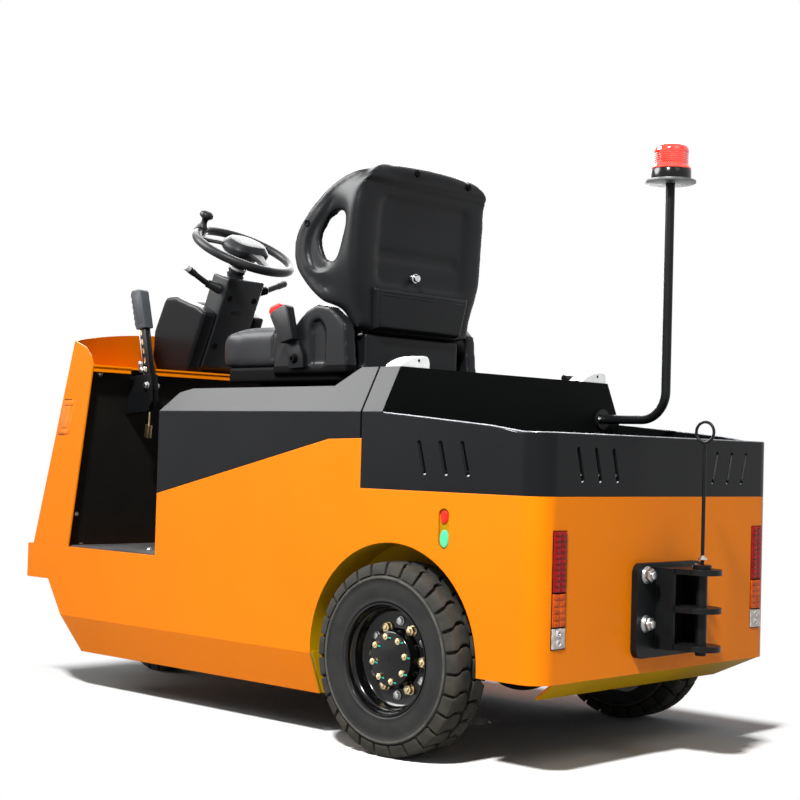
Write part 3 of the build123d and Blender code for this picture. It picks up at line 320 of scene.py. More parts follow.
def addLathe(bm, section, place, steps=96, loop=False):
    rings = [[place @ Vector((max(r, 0.004) * cos(2 * pi * k / steps), max(r, 0.004) * sin(2 * pi * k / steps), along))
              for k in range(steps)] for along, r in section]
    addRings(bm, rings + rings[:1] if loop else rings)


def addPrism(bm, outline, place, depth, tops=None):
    rings = [[place @ Vector((u, v, w)) for u, v in outline] for w in (0, depth)]
    if tops:
        rings[1] = [place @ Vector((u, v, depth)) for u, v in tops]
    addRings(bm, rings, True, True, True)


def addBox(bm, place, size):
    x, y, z = (s / 2 for s in size)
    addPrism(bm, [(-x, -y), (x, -y), (x, y), (-x, y)], place @ Matrix.Translation((0, 0, -z)), 2 * z)


def addTube(bm, points, radius, steps=16):
    points = [Vector(p) for p in points]
    radii = radius if hasattr(radius, "__len__") else [radius] * len(points)
    side = None
    rings = []
    for k, point in enumerate(points):
        ahead = (points[min(k + 1, len(points) - 1)] - points[max(k - 1, 0)]).normalized()
        if side is None:
            side = ahead.orthogonal().normalized()
        side = (side - ahead * side.dot(ahead)).normalized()
        other = ahead.cross(side)
        rings.append([point + (side * cos(2 * pi * i / steps) + other * sin(2 * pi * i / steps)) * radii[k]
                      for i in range(steps)])
    addRings(bm, rings, True, True, True)


def smoothLine(points, each=8):
    points = [Vector(p) for p in points]
    line = []
    for k in range(len(points) - 1):
        a, b, c, d = (points[min(max(k + i, 0), len(points) - 1)] for i in (-1, 0, 1, 2))
        for i in range(each):
            t = i / each
            line.append(0.5 * (2 * b + (c - a) * t + (2 * a - 5 * b + 4 * c - d) * t ** 2
                               + (3 * b - a - 3 * c + d) * t ** 3))
    return line + [points[-1]]


def smoothOutline(points, each=5):
    loop = [Vector((*p, 0)) for p in points]
    line = smoothLine(loop[-1:] + loop + loop[:2], each)[each:-each]
    return [(p.x, p.y) for p in line[:-1]]


def ramp(value, start, end):
    return min(max((value - start) / (end - start), 0), 1)


def interpolate(table, at):
    for (a, low), (b, high) in zip(table, table[1:]):
        if at <= b:
            return low + (high - low) * ramp(at, a, b)
    return table[-1][1]


def settle(obj):
    graph = bpy.context.evaluated_depsgraph_get()
    mesh = bpy.data.meshes.new_from_object(obj.evaluated_get(graph), depsgraph=graph)
    obj.modifiers.clear()
    obj.data = mesh
    return obj


def objectFrom(bm, name, doubles=0.01):
    bmesh.ops.remove_doubles(bm, verts=bm.verts, dist=doubles)
    bmesh.ops.recalc_face_normals(bm, faces=bm.faces)
    mesh = bpy.data.meshes.new(name)
    bm.to_mesh(mesh)
    bm.free()
    obj = bpy.data.objects.new(name, mesh)
    bpy.context.scene.collection.objects.link(obj)
    return obj


def toMetres(obj):
    obj.data.transform(Matrix.Translation((axleX, 0, 0)) @ Matrix.Scale(0.001, 4))
    return obj


def dress(obj, body, finish, replaced=(), sharp=38):
    mesh = obj.data
    mesh.polygons.foreach_set("use_smooth", [True] * len(mesh.polygons))
    mesh.set_sharp_from_angle(angle=radians(sharp))
    if finish:
        mesh.materials.clear()
        mesh.materials.append(finishes[finish])
    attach(obj, body)
    if replaced:
        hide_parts(*replaced)
    return obj


def roundEdges(obj, width, segments=2, angle=30):
    modifier = obj.modifiers.new("edges", "BEVEL")
    modifier.width = width
    modifier.segments = segments
    modifier.limit_method = "ANGLE"
    modifier.angle_limit = radians(angle)


# A finished piece: the drawn mesh, its rounded edges, and what it rides on
def addPiece(name, bm, body, finish, replaced=(), bevel=0, segments=2, sharp=38):
    obj = objectFrom(bm, name)
    if bevel:
        roundEdges(obj, bevel, segments, 28)
    settle(obj)
    return dress(toMetres(obj), body, finish, replaced, sharp)


# A moulding: closed shapes fused by a fine remesh and smoothed, so that every edge is rounded
def addMoulding(name, shapes, body, finish, replaced=(), voxel=4, smooth=6, sharp=60):
    obj = objectFrom(shapes, name)
    modifier = obj.modifiers.new("fuse", "REMESH")
    modifier.mode = "VOXEL"
    modifier.voxel_size = voxel
    modifier = obj.modifiers.new("soften", "SMOOTH")
    modifier.factor = 0.5
    modifier.iterations = smooth
    settle(obj)
    return dress(toMetres(obj), body, finish, replaced, sharp)


# Geometry Nodes: one tree repeats a part round an axis, the other puts it at marked places
def makeTree(name, sockets):
    tree = bpy.data.node_groups.new(name, "GeometryNodeTree")
    tree.interface.new_socket("Geometry", in_out="INPUT", socket_type="NodeSocketGeometry")
    for label, kind in sockets:
        tree.interface.new_socket(label, in_out="INPUT", socket_type=kind)
    tree.interface.new_socket("Geometry", in_out="OUTPUT", socket_type="NodeSocketGeometry")
    return tree, addNode(tree, "NodeGroupInput")


def endTree(tree, instances, finish):
    real = addNode(tree, "GeometryNodeRealizeInstances", {"Geometry": instances})
    painted = addNode(tree, "GeometryNodeSetMaterial", {"Geometry": real.outputs[0], "Material": finish})
    addNode(tree, "NodeGroupOutput", {"Geometry": painted.outputs[0]})


ringTree, ringIn = makeTree("repeatRoundAxis", [("Count", "NodeSocketInt"), ("Radius", "NodeSocketFloat"),
                                                ("Start", "NodeSocketFloat"), ("Finish", "NodeSocketMaterial")])
circle = addNode(ringTree, "GeometryNodeMeshCircle", {"Vertices": ringIn.outputs["Count"], "Radius": 0.0})
step = addNode(ringTree, "ShaderNodeMath", {0: 2 * pi, 1: ringIn.outputs["Count"]}, operation="DIVIDE")
turn = addNode(ringTree, "ShaderNodeMath", {0: addNode(ringTree, "GeometryNodeInputIndex").outputs[0],
                                            1: step.outputs[0], 2: ringIn.outputs["Start"]}, operation="MULTIPLY_ADD")
spin = addNode(ringTree, "FunctionNodeEulerToRotation",
               {0: addNode(ringTree, "ShaderNodeCombineXYZ", {"Z": turn.outputs[0]}).outputs[0]})
reach = addNode(ringTree, "ShaderNodeCombineXYZ", {"X": ringIn.outputs["Radius"]})
moved = addNode(ringTree, "GeometryNodeTransform", {"Geometry": ringIn.outputs["Geometry"],
                                                    "Translation": reach.outputs[0]})
placed = addNode(ringTree, "GeometryNodeInstanceOnPoints", {"Points": circle.outputs[0], "Instance": moved.outputs[0],
                                                            "Rotation": spin.outputs[0]})
endTree(ringTree, placed.outputs[0], ringIn.outputs["Finish"])

spotTree, spotIn = makeTree("putAtPlaces", [("Part", "NodeSocketObject"), ("Size", "NodeSocketFloat"),
                                            ("Finish", "NodeSocketMaterial")])
part = addNode(spotTree, "GeometryNodeObjectInfo", {"Object": spotIn.outputs["Part"]})
named = addNode(spotTree, "GeometryNodeInputNamedAttribute", {"Name": "turn"}, data_type="FLOAT_VECTOR")
spin = addNode(spotTree, "FunctionNodeEulerToRotation", {0: named.outputs[0]})
grow = addNode(spotTree, "ShaderNodeCombineXYZ", {axis: spotIn.outputs["Size"] for axis in "XYZ"})
placed = addNode(spotTree, "GeometryNodeInstanceOnPoints", {
    "Points": spotIn.outputs["Geometry"], "Instance": part.outputs["Geometry"], "Rotation": spin.outputs[0],
    "Scale": grow.outputs[0]})
endTree(spotTree, placed.outputs[0], spotIn.outputs["Finish"])


def runTree(obj, tree, values):
    modifier = obj.modifiers.new(tree.name, "NODES")
    modifier.node_group = tree
    for item in tree.interface.items_tree:
        if item.in_out == "INPUT" and item.name in values:
            modifier[item.identifier] = values[item.name]
    return settle(obj)


def repeatRound(name, bm, count, radius, place, body, finish, start=0.0, bevel=0):
    obj = objectFrom(bm, name)
    if bevel:
        roundEdges(obj, bevel)
        settle(obj)
    runTree(obj, ringTree, {"Count": count, "Radius": float(radius), "Start": start, "Finish": finishes[finish]})
    obj.data.transform(place)
    return dress(toMetres(obj), body, finish)


def putAt(name, bm, places, body, finish, size=1.0, bevel=0.0):
    part = objectFrom(bm, name + "Part")
    if bevel:
        roundEdges(part, bevel)
        settle(part)
    mesh = bpy.data.meshes.new(name)
    mesh.from_pydata([tuple(m.translation) for m in places], [], [])
    turns = mesh.attributes.new("turn", "FLOAT_VECTOR", "POINT")
    for k, m in enumerate(places):
        turns.data[k].vector = m.to_euler()
    obj = bpy.data.objects.new(name, mesh)
    bpy.context.scene.collection.objects.link(obj)
    runTree(obj, spotTree, {"Part": part, "Size": size, "Finish": finishes[finish]})
    bpy.data.objects.remove(part)
    return dress(toMetres(obj), body, finish)


print("tools ready")

# Wheels: solid tyres with two rows of staggered lugs, deep rims and their nuts
wheel = {"rear": (207.5, 56, 122, 27), "front": (165, 50, 88, 23),  # radius, half width, rim radius, lugs in a row
         "centreY": 419, "frontX": 1325, "groove": 8, "lugDeep": 10, "hubNutR": 48, "hubNuts": 8, "firstNut": 0.2,
         "hubFace": 33, "discNutR": 72, "discBoltR": 80, "discFace": 2}


def lugProfile(r, half):
    # (distance from the tyre's middle, radius) over the tread and down the shoulder, and the same sunk in
    over = [(2.6, r), (half * 0.27, r), (half * 0.54, r - 0.3), (half * 0.75, r - 1.4), (half * 0.84, r - 4),
            (half * 0.91, r - 15), (half * 0.965, r - 26)]
    under = [(t, q - wheel["lugDeep"]) for t, q in over[:4]] + [(half * 0.7, r - 12), (half * 0.77, r - 18),
                                                               (half * 0.83, r - 26)]
    return over, under


def addLug(bm, r, half, count, flip):
    pitch = 2 * pi / count
    over, under = lugProfile(r, half)
    groove = [(0, 0.16), (0.25, 0.30), (0.52, 0.26), (0.7, 0.04), (1, 0.0)]  # how the cross groove wanders
    gap = wheel["groove"] / r
    grid = []
    for line in (over, under):
        rows = []
        for k, (t, q) in enumerate(line):
            lean = interpolate(groove, over[k][0] / half) * pitch
            nose = 4.2 if k == 0 else 0
            row = []
            for i in range(6):
                a = lean + gap / 2 + (pitch - gap) * i / 5
                depth = t + nose * abs(i / 5 - 0.5) * 2
                row.append((q * cos(a), q * sin(a), depth * flip))
            rows.append(row)
        grid.append(rows)
    top, low = ([[bm.verts.new(p) for p in row] for row in rows] for rows in grid)
    last, edge = len(top) - 1, 5
    for k in range(last):
        for i in range(edge):
            bm.faces.new((top[k][i], top[k + 1][i], top[k + 1][i + 1], top[k][i + 1]))
        for i in (0, edge):
            bm.faces.new((top[k][i], low[k][i], low[k + 1][i], top[k + 1][i]))
    for i in range(edge):
        bm.faces.new((top[0][i], top[0][i + 1], low[0][i + 1], low[0][i]))
        bm.faces.new((top[last][i], top[last][i + 1], low[last][i + 1], low[last][i]))


def addTyre(name, place, body, node, r, half, rim, count):
    under = lugProfile(r, half)[1]
    wall = [(half * 0.9, r - 28), (half - 1.6, r - 31), (half - 1.4, r - 33.5), (half - 1.6, r - 36),
            (half - 3, r - 37.5), (half - 2.2, r - 48), (half - 2.6, rim + 14), (half - 5, rim + 6),
            (half - 4, rim + 3.4), (half - 6.5, rim + 0.5), (half - 12, rim - 7)]
    section = [(t, q + 1.2) for t, q in under] + wall
    section = [(-t, q) for t, q in section[::-1]] + section
    carcass = bmesh.new()
    addLathe(carcass, section, place, 128)
    addPiece(name + "Carcass", carcass, body, "tyreRubber", (node,), sharp=50)
    ring = bmesh.new()
    for flip in (1, -1):
        edge = [(half - 2.4, r - 30.2), (half - 0.5, r - 31.4), (half, r - 33.2), (half - 0.5, r - 35.2),
                (half - 2.4, r - 36.4)]
        addLathe(ring, [(flip * t, q) for t, q in edge], place, 128, True)
    addPiece(name + "Ring", ring, body, "tyreRingDust", sharp=60)
    for row, flip in (("Outer", 1), ("Inner", -1)):
        lug = bmesh.new()
        addLug(lug, r, half, count, flip)
        repeatRound(name + row + "Lugs", lug, count, 0, place, body, "tyreTreadRubber",
                    start=0.0 if flip > 0 else pi / count, bevel=0.9)


def addNut(bm, across, high, washer=0, stud=0):
    r = across / sqrt(3)
    hexagon = [(r * cos(pi / 3 * k), r * sin(pi / 3 * k)) for k in range(6)]
    addPrism(bm, hexagon, Matrix.Translation((0, 0, washer and 1.6)), high)
    if washer:
        addLathe(bm, [(0, 0), (0, washer), (1.6, washer), (1.6, 0)], Matrix.Identity(4), 20)
    if stud:
        base = high + (washer and 1.6)
        addLathe(bm, [(base - 1, stud), (base + 3.2, stud), (base + 4, stud * 0.7), (base + 4, 0)],
                 Matrix.Identity(4), 14)


def addRearWheel(side, label):
    body = "rear_wheel_" + label
    tyreR, half, r, _ = wheel["rear"]
    place = axleOn(0, side * wheel["centreY"], tyreR, side)
    name = "rear" + label.capitalize()
    addTyre(name + "Tyre", place, body, "rear_tyre_" + label, *wheel["rear"])
    rim = bmesh.new()
    front = [(half - 13, r - 4), (half - 8, r - 1), (half - 5.5, r - 2.2), (half - 5, r - 4.6), (half - 7.4, r - 6.6),
             (half - 13, r - 8), (half - 22, r - 9.5), (half - 25, r - 13), (half - 27, r - 14.5), (half - 44, r - 16),
             (half - 49, r - 19), (half - 52, r - 25), (3, r - 30), (2, r - 36), (2, 67), (3, 64.5), (10, 62),
             (29, 60), (32, 58.6), (33, 56), (33, 3.2), (31.6, 2.4), (31.6, 0)]
    back = [(-18, 0), (-18, 58), (-10, 64), (-6, 90), (-14, r - 26), (-22, r - 18), (-half + 16, r - 14),
            (-half + 8, r - 3), (-half + 13, r - 1), (-20, r - 9), (half - 13, r - 4)]
    addLathe(rim, front, place, 96)
    addLathe(rim, back, place, 96)
    addPiece(name + "Rim", rim, body, "rimEnamel", ("rear_rim_" + label,), sharp=45)
    for part, count, radius, lift, across, high, washer, stud, finish, start in (
            ("HubNuts", wheel["hubNuts"], wheel["hubNutR"], wheel["hubFace"], 13, 5.5, 0, 4, "yellowChromate",
             wheel["firstNut"]),
            ("DiscNuts", 6, wheel["discNutR"], wheel["discFace"], 19, 9, 12, 5.5, "yellowChromate", 0.5),
            ("DiscBolts", 6, wheel["discBoltR"], wheel["discFace"], 15, 5, 10, 0, "zincPlate", 0.5 + pi / 6)):
        nut = bmesh.new()
        addNut(nut, across, high, washer, stud)
        repeatRound(name + part, nut, count, radius, place @ Matrix.Translation((0, 0, lift)), body, finish,
                    start=start, bevel=0.6)
    dab = bmesh.new()
    addBox(dab, Matrix.Translation((0, 0, 0.7)), (3.4, 7.5, 1.4))
    turns = [wheel["firstNut"] + 2 * pi * k / wheel["hubNuts"] for k in range(wheel["hubNuts"])]
    spots = [(wheel["hubNutR"] * cos(a) - 2, wheel["hubNutR"] * sin(a) - 9, wheel["hubFace"]) for a in turns]
    putAt(name + "PaintMarks", dab, [place @ Matrix.Translation(spot) for spot in spots], body, "paintMarkTeal",
          bevel=0.3)


addRearWheel(1, "left")
addRearWheel(-1, "right")
addTyre("frontTyre", axleOn(wheel["frontX"], 0, wheel["front"][0]), "front_wheel", "front_tyre", *wheel["front"])
print("wheels made")


# Copies of the CAD's forms, and places that face a given way
def copyOf(*nodes):
    # the CAD nodes' own mesh, merged, in mm from the rear axle, to be rounded or built upon
    bm = bmesh.new()
    for node in nodes:
        bm.from_mesh(cadNodes[node].data)
    bm.transform(Matrix.Scale(1000, 4) @ Matrix.Translation((-axleX, 0, 0)))
    bmesh.ops.remove_doubles(bm, verts=bm.verts, dist=0.02)
    return bm


def facing(x, y, z, ahead, up=(0, 0, 1)):
    # a place whose depth runs along ahead, with up as near its second axis as it can be
    ahead = Vector(ahead).normalized()
    side = Vector(up).cross(ahead).normalized()
    return axes(side, ahead.cross(side), ahead, (x, y, z))


def between(start, end):
    start, end = Vector(start), Vector(end)
    ahead = end - start
    return facing(*start, ahead, ahead.orthogonal()), ahead.length


def mirrored(points):
    return [(x, -y, z) for x, y, z in points]


# Seat: blow-moulded wrap-round back with a roll round its edge, vinyl pads and side cheeks
seat = {"x": 347, "lean": 0.102, "rollR": 19, "wingR": 15.5, "voxel": 4, "padVoxel": 0.007,
        "pressure": 4, "cap": 0.009, "seamDeep": 0.0032, "seamWide": 0.009, "sunk": 0.009, "cornerRounds": 200}
rollPath = [(346, 0, 1343), (346, 90, 1341), (349, 150, 1335), (357, 184, 1326), (380, 200, 1322), (414, 208, 1312),
            (445, 217, 1293), (475, 224, 1268), (526, 226, 1217), (548, 226, 1187), (555, 226, 1140),
            (546, 226, 1106), (515, 224, 1067), (474, 220, 1034), (430, 213, 1014), (400, 205, 1006)]


def backX(z):
    return seat["x"] + (1160 - z) * seat["lean"]


def rearFace(y, z, out=0):
    place = facing(backX(z), y, z, (-1, 0, -seat["lean"]))
    return place @ Matrix.Translation((0, 0, out))


def addSeatBack():
    shell = copyOf("seat_back")
    for path in (rollPath, mirrored(rollPath)):
        line = smoothLine(path, 5)
        radii = [interpolate([(0, seat["rollR"]), (0.35, seat["wingR"]), (0.9, seat["wingR"]), (1, 8)],
                             k / (len(line) - 1)) for k in range(len(line))]
        addTube(shell, line, radii, 20)
    obj = addMoulding("seatShell", shell, "hood", "seatShellPlastic", ("seat_back",), seat["voxel"], 7)
    # the rear face sinks under the roll; its corners are rounded and its lines softened
    soft = obj.vertex_groups.new(name="soft")
    for vertex in obj.data.vertices:
        y, z = abs(vertex.co.y) * 1000, vertex.co.z * 1000
        depth = (vertex.co.x - axleX) * 1000 - backX(z)  # how far it lies in front of the rear face
        below = ramp(z, 1300, 1278)
        corner = ramp(y, 146, 180) * ramp(depth, 110, 80) * below
        face = 0.1 * ramp(depth, 22, 14) * below
        vertex.co.x += seat["sunk"] * ramp(depth, 44, 20) * ramp(z, 1318, 1305) * ramp(z, 1050, 1210)
        soft.add([vertex.index], max(corner, face), "REPLACE")
    modifier = obj.modifiers.new("soften", "SMOOTH")
    modifier.vertex_group = "soft"
    modifier.iterations = seat["cornerRounds"]
    settle(obj)
    obj.data.set_sharp_from_angle(angle=radians(60))
    pocket = bmesh.new()
    low, high = [(-157, -56), (157, -56), (173, 54), (-173, 54)], [(-149, -46), (149, -46), (165, 49), (-165, 49)]
    addPrism(pocket, low, rearFace(0, 1000, -10), 26, high)
    addMoulding("seatPocket", pocket, "hood", "seatShellPlastic", (), 3, 8)
    ridges = bmesh.new()
    for rise, reach in ((43, 158), (35, 157)):
        place = rearFace(0, 1000, 15.2)
        addTube(ridges, [place @ Vector((y, rise, -5 * (abs(y) > reach - 8))) for y in
                         (-reach, -reach + 10, -80, 0, 80, reach - 10, reach)], 1.7, 8)
    addPiece("seatPocketRidges", ridges, "hood", "seatShellPlastic")
    knob = bmesh.new()
    addLathe(knob, [(-8, 0), (-8, 12), (2, 12.5), (3.4, 11.6), (4, 9.4), (9, 9.8), (11.4, 8.6), (12.6, 5.6), (12, 0)],
             rearFace(26, 1086), 32)
    addPiece("seatKnob", knob, "hood", "chromePlate")
    # painted shade: near-black cups stand for the shade in the shell's screw holes
    cup = bmesh.new()
    addLathe(cup, [(0.4, 0), (0.4, 3.4), (1, 4.4), (1.6, 7), (0.8, 8.6), (-4, 9)], Matrix.Identity(4), 20)
    putAt("seatScrewCups", cup, [facing(326.5, 55, 1343, (-1, 0, 0.15)), facing(327, -140, 1336, (-1, 0, 0.1)),
                                 facing(525, 241.2, 1212, (0, 1, 0)), facing(525, -241.2, 1212, (0, -1, 0))],
          "hood", "recessBlackPaintedShade")


def softPad(name, node, shrink, replaced, seams):
    # foam under vinyl: the CAD form drawn in, swollen by a cloth simulation, then sewn
    bm = copyOf(node)
    low, high = (Vector(corner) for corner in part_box(node))
    middle = sum((v.co for v in bm.verts), Vector()) / len(bm.verts)
    bm.transform(Matrix.Translation(middle) @ Matrix.Diagonal((*shrink, 1)) @ Matrix.Translation(-middle))
    obj = toMetres(objectFrom(bm, name))
    modifier = obj.modifiers.new("skin", "REMESH")
    modifier.mode = "VOXEL"
    modifier.voxel_size = seat["padVoxel"]
    modifier = obj.modifiers.new("soften", "SMOOTH")
    modifier.iterations = 8
    settle(obj)
    rest = [v.co.copy() for v in obj.data.vertices]
    cloth = obj.modifiers.new("cloth", "CLOTH")
    cloth.settings.use_pressure = True
    cloth.settings.uniform_pressure_force = seat["pressure"]
    cloth.settings.effector_weights.gravity = 0
    cloth.point_cache.frame_end = 20
    for frameNumber in range(1, 21):
        bpy.context.scene.frame_set(frameNumber)
    settle(obj)
    bpy.context.scene.frame_set(1)
    for vertex, start in zip(obj.data.vertices, rest):
        move = vertex.co - start
        vertex.co = start + move * min(1, seat["cap"] / max(move.length, 1e-6))
    modifier = obj.modifiers.new("round", "SMOOTH")
    modifier.iterations = 3
    modifier = obj.modifiers.new("fine", "SUBSURF")
    modifier.levels = modifier.render_levels = 1
    settle(obj)
    for vertex in obj.data.vertices:
        vertex.co = [min(max(value, a), b) for value, a, b in zip(vertex.co, low, high)]
    surface = BVHTree.FromPolygons([v.co for v in obj.data.vertices], [p.vertices for p in obj.data.polygons])
    welts = bmesh.new()
    lines = []
    for seam in seams:
        line = [surface.find_nearest(Vector((axleX + p.x / 1000, p.y / 1000, p.z / 1000))) for p in smoothLine(seam, 24)]
        spots = [spot for spot, _, _, _ in line]
        lines += spots
        away = [(spot - normal * seat["seamDeep"] * 0.7 - Vector((axleX, 0, 0))) * 1000 for spot, normal, _, _ in line]
        addTube(welts, away, 1.9, 8)
    finder = KDTree(len(lines))
    for k, spot in enumerate(lines):
        finder.insert(spot, k)
    finder.balance()
    moves = []
    for vertex in obj.data.vertices:
        away = finder.find(vertex.co)[2]
        moves.append(vertex.normal * seat["seamDeep"] * max(0, 1 - away / seat["seamWide"]) ** 2)
    for vertex, move in zip(obj.data.vertices, moves):
        vertex.co -= move
    dress(obj, "hood", "seatVinyl", replaced, 60)
    addPiece(name + "Welts", welts, "hood", "seatVinyl")


def addSeat():
    addSeatBack()
    cheeks = copyOf("seat_base")
    front = [(636, 860), (634, 930), (627, 948), (610, 956), (570, 958), (530, 966), (505, 985), (500, 860)]
    for low in (238, -204):
        addPrism(cheeks, front, sideOn(low), 34)
    obj = addMoulding("seatCheeks", cheeks, "hood", "seatShellPlastic", ("seat_base",), 4, 7)
    # painted shade: the cheeks below 857 mm turn near black, for the shadow that falls on the plinth
    paintWhere(obj.data, "recessBlackPaintedShade", lambda x, y, z, normal: z < 857)
    across = [(652, -236, 880), (652, -238, 930), (646, -215, 962), (643, -100, 964), (643, 0, 964), (643, 100, 964),
              (646, 215, 962), (652, 238, 930), (652, 236, 880)]
    longways = [[(430, side * 140, 964), (520, side * 146, 964), (636, side * 150, 964)] for side in (-1, 1)]
    softPad("seatCushionPad", "seat_cushion", (0.99, 0.985, 0.94), ("seat_cushion",), [across] + longways)
    ribs = [[(440, -165, z), (436, 0, z), (440, 165, z)] for z in (1040, 1120, 1200)]
    softPad("seatBackPad", "seat_back_pad", (0.9, 0.955, 0.955), ("seat_back_pad",), ribs)
    buckle = bmesh.new()
    addPrism(buckle, [(622, 984), (614, 993), (590, 1003), (568, 1010), (560, 1004), (537, 923), (580, 913)],
             sideOn(269), 26)
    addPiece("buckleCase", buckle, "hood", "controlNylon", ("belt_buckle",), 2.6, 3)
    stalk = bmesh.new()
    addPrism(stalk, [(576, 918), (542, 926), (519, 886), (515, 853), (568, 851), (575, 882)], sideOn(249), 8.5)
    addPiece("buckleStalk", stalk, "hood", "seatShellPlastic", bevel=1.6)
    button = bmesh.new()
    addPrism(button, [(586, 1000), (621, 984), (628.5, 994), (622, 1005), (594, 1014.5), (586, 1010)], sideOn(267), 22)
    addPiece("buckleButton", button, "hood", "buttonRed", bevel=1.6)
    bolt = bmesh.new()
    addLathe(bolt, [(-2, 0), (-2, 12.5), (2, 12.5), (3, 11.5), (3, 9), (8, 9), (9, 8), (9, 4.6), (5, 4.4), (5, 0)],
             axleOn(548, 249, 875), 24)
    addPiece("buckleBolt", bolt, "hood", "recessBlackPaintedShade")
    print("seat made")


addSeat()

# Steering wheel, its column and the levers on it
column = {"hub": (1038, 0, 1203), "tilt": 28, "ringR": 140, "gripR": 12.6, "knobTurn": 30,
          "rearTop": (1018, 1118), "rearSlope": 0.4463, "podFold": 1022, "podSlope": 1.25}
columnLean = radians(column["tilt"])
hubPlace = axes((cos(columnLean), 0, sin(columnLean)), (0, 1, 0), (-sin(columnLean), 0, cos(columnLean)), column["hub"])


def addHandWheel():
    ring = bmesh.new()
    section = [(column["gripR"] * sin(a), column["ringR"] + column["gripR"] * cos(a))
               for a in (2 * pi * k / 20 for k in range(20))]
    addLathe(ring, section, hubPlace, 112, True)
    for turn in (180, 58, -58):
        place = hubPlace @ Matrix.Rotation(radians(turn), 4, "Z")
        rings = [[place @ Vector((x, y * wide, z + lift)) for y, z in
                  [(-1, -4.5), (1, -4.5), (1.0, 1.5), (0.72, 5), (-0.72, 5), (-1.0, 1.5)]]
                 for x, wide, lift in ((36, 30, 9), (58, 25, 9), (82, 17, 5), (108, 13, 0), (124, 14, -1), (136, 19, 0))]
        addRings(ring, rings, True, True, True)
    addPiece("steeringRim", ring, "hand_wheel", "controlNylon", ("steering_wheel",), 1.2, 2, sharp=50)
    pad = bmesh.new()
    shape = [(60, 26), (44, 56), (12, 76), (-30, 70), (-52, 40), (-52, -40), (-30, -70), (12, -76), (44, -56), (60, -26)]
    outline = smoothOutline(shape, 4)
    rings = [[hubPlace @ Vector((x * k, y * 0.9 * k, z)) for x, y in outline]
             for k, z in ((0.62, -15), (0.86, -10), (0.98, -2), (1, 4), (0.97, 14), (0.76, 29), (0.7, 30.2), (0.3, 30.6))]
    addRings(pad, rings, True, True, True)
    addPiece("hornPad", pad, "hand_wheel", "controlNylon", (), 1.4, 2, sharp=28)
    boss = bmesh.new()
    addLathe(boss, [(-36, 11), (-36, 30), (-33, 35), (-22, 38), (-14, 42), (-10, 42), (-10, 0)], hubPlace, 40)
    addPiece("hubBoss", boss, "hand_wheel", "seatShellPlastic")
    knob = bmesh.new()
    place = hubPlace @ Matrix.Rotation(radians(column["knobTurn"]), 4, "Z") @ Matrix.Translation((column["ringR"], 0, 0))
    addLathe(knob, [(8, 0), (8, 15), (12, 17), (17, 15), (21, 10.5), (30, 8.6), (36, 9.4), (40, 13), (43, 18), (47, 20),
                    (53, 19.6), (58, 16.5), (61.5, 10), (62.6, 0)], place, 40)
    addPiece("spinnerKnob", knob, "hand_wheel", "controlNylon", ("spinner_knob",))
    clamp = bmesh.new()
    addTube(clamp, [place @ Vector((0, y, 0)) for y in (-19, -17, 17, 19)], [14.4, 15.6, 15.6, 14.4], 24)
    addPiece("spinnerClamp", clamp, "hand_wheel", "seatShellPlastic")


def housingRear(y, z):
    # a place on the housing's leaning rear face
    x, top = column["rearTop"]
    return facing(x + (top - z) * column["rearSlope"], y, z, (-0.913, 0, -0.4075))


def addColumn():
    neck = bmesh.new()
    addLathe(neck, [(-112, 23), (-76, 23), (-74, 25.5), (-70, 25.5), (-68, 22.5), (-64, 22.5), (-62, 25), (-58, 25),
                    (-56, 22), (-50, 22), (-48, 19), (-45, 19), (-45, 9.9), (-12.5, 9.9), (-12.5, 0)], hubPlace, 36)
    addPiece("columnNeck", neck, "tractor", "seatShellPlastic", ("column_neck",))
    collar = bmesh.new()
    addLathe(collar, [(-55, 20), (-55, 24.6), (-53.6, 25.4), (-49.6, 25.4), (-48, 24.4), (-48, 18)], hubPlace, 36)
    addPiece("columnCollar", collar, "tractor", "tipPlasticPale")
    housing = bmesh.new()
    addPrism(housing, [(1018, 1118), (1090, 1140), (1190, 905), (1245, 861), (1150, 861), (1126, 876)], sideOn(66), 132)
    addPiece("columnHousing", housing, "tractor", "controlNylon", ("column_housing",), 7, 4, sharp=50)
    cup = bmesh.new()
    # painted shade: near-black cups stand for the shade in the housing's screw holes
    addLathe(cup, [(0.3, 0), (0.3, 4.2), (0.8, 6.6), (1.4, 8), (0.9, 9), (-3, 9.3)], Matrix.Identity(4), 20)
    putAt("housingScrewCups", cup, [housingRear(y, z) for y, z in ((45, 1066), (-45, 1066), (45, 935), (-45, 935))],
          "tractor", "recessBlackPaintedShade")
    plate = bmesh.new()
    oval = [(28 * cos(a), 9 * sin(a)) for a in (2 * pi * k / 32 for k in range(32))]
    addPrism(plate, oval, housingRear(0, 1030) @ Matrix.Translation((0, 0, -2)), 2.8,
             [(0.9 * x, 0.84 * y) for x, y in oval])
    addPiece("housingPlug", plate, "tractor", "seatShellPlastic", bevel=0.5)
    pod = addMoulding("instrumentPod", copyOf("instrument_pod"), "tractor", "formedAbsBlack",
                      ("instrument_pod",), 4, 24)
    for vertex in pod.data.vertices:
        # its display face slopes down towards the driver
        x, z = (vertex.co.x - axleX) * 1000, vertex.co.z * 1000
        vertex.co.x += column["podSlope"] / 1000 * max(z - column["podFold"], 0) * ramp(x, 1215, 1105)


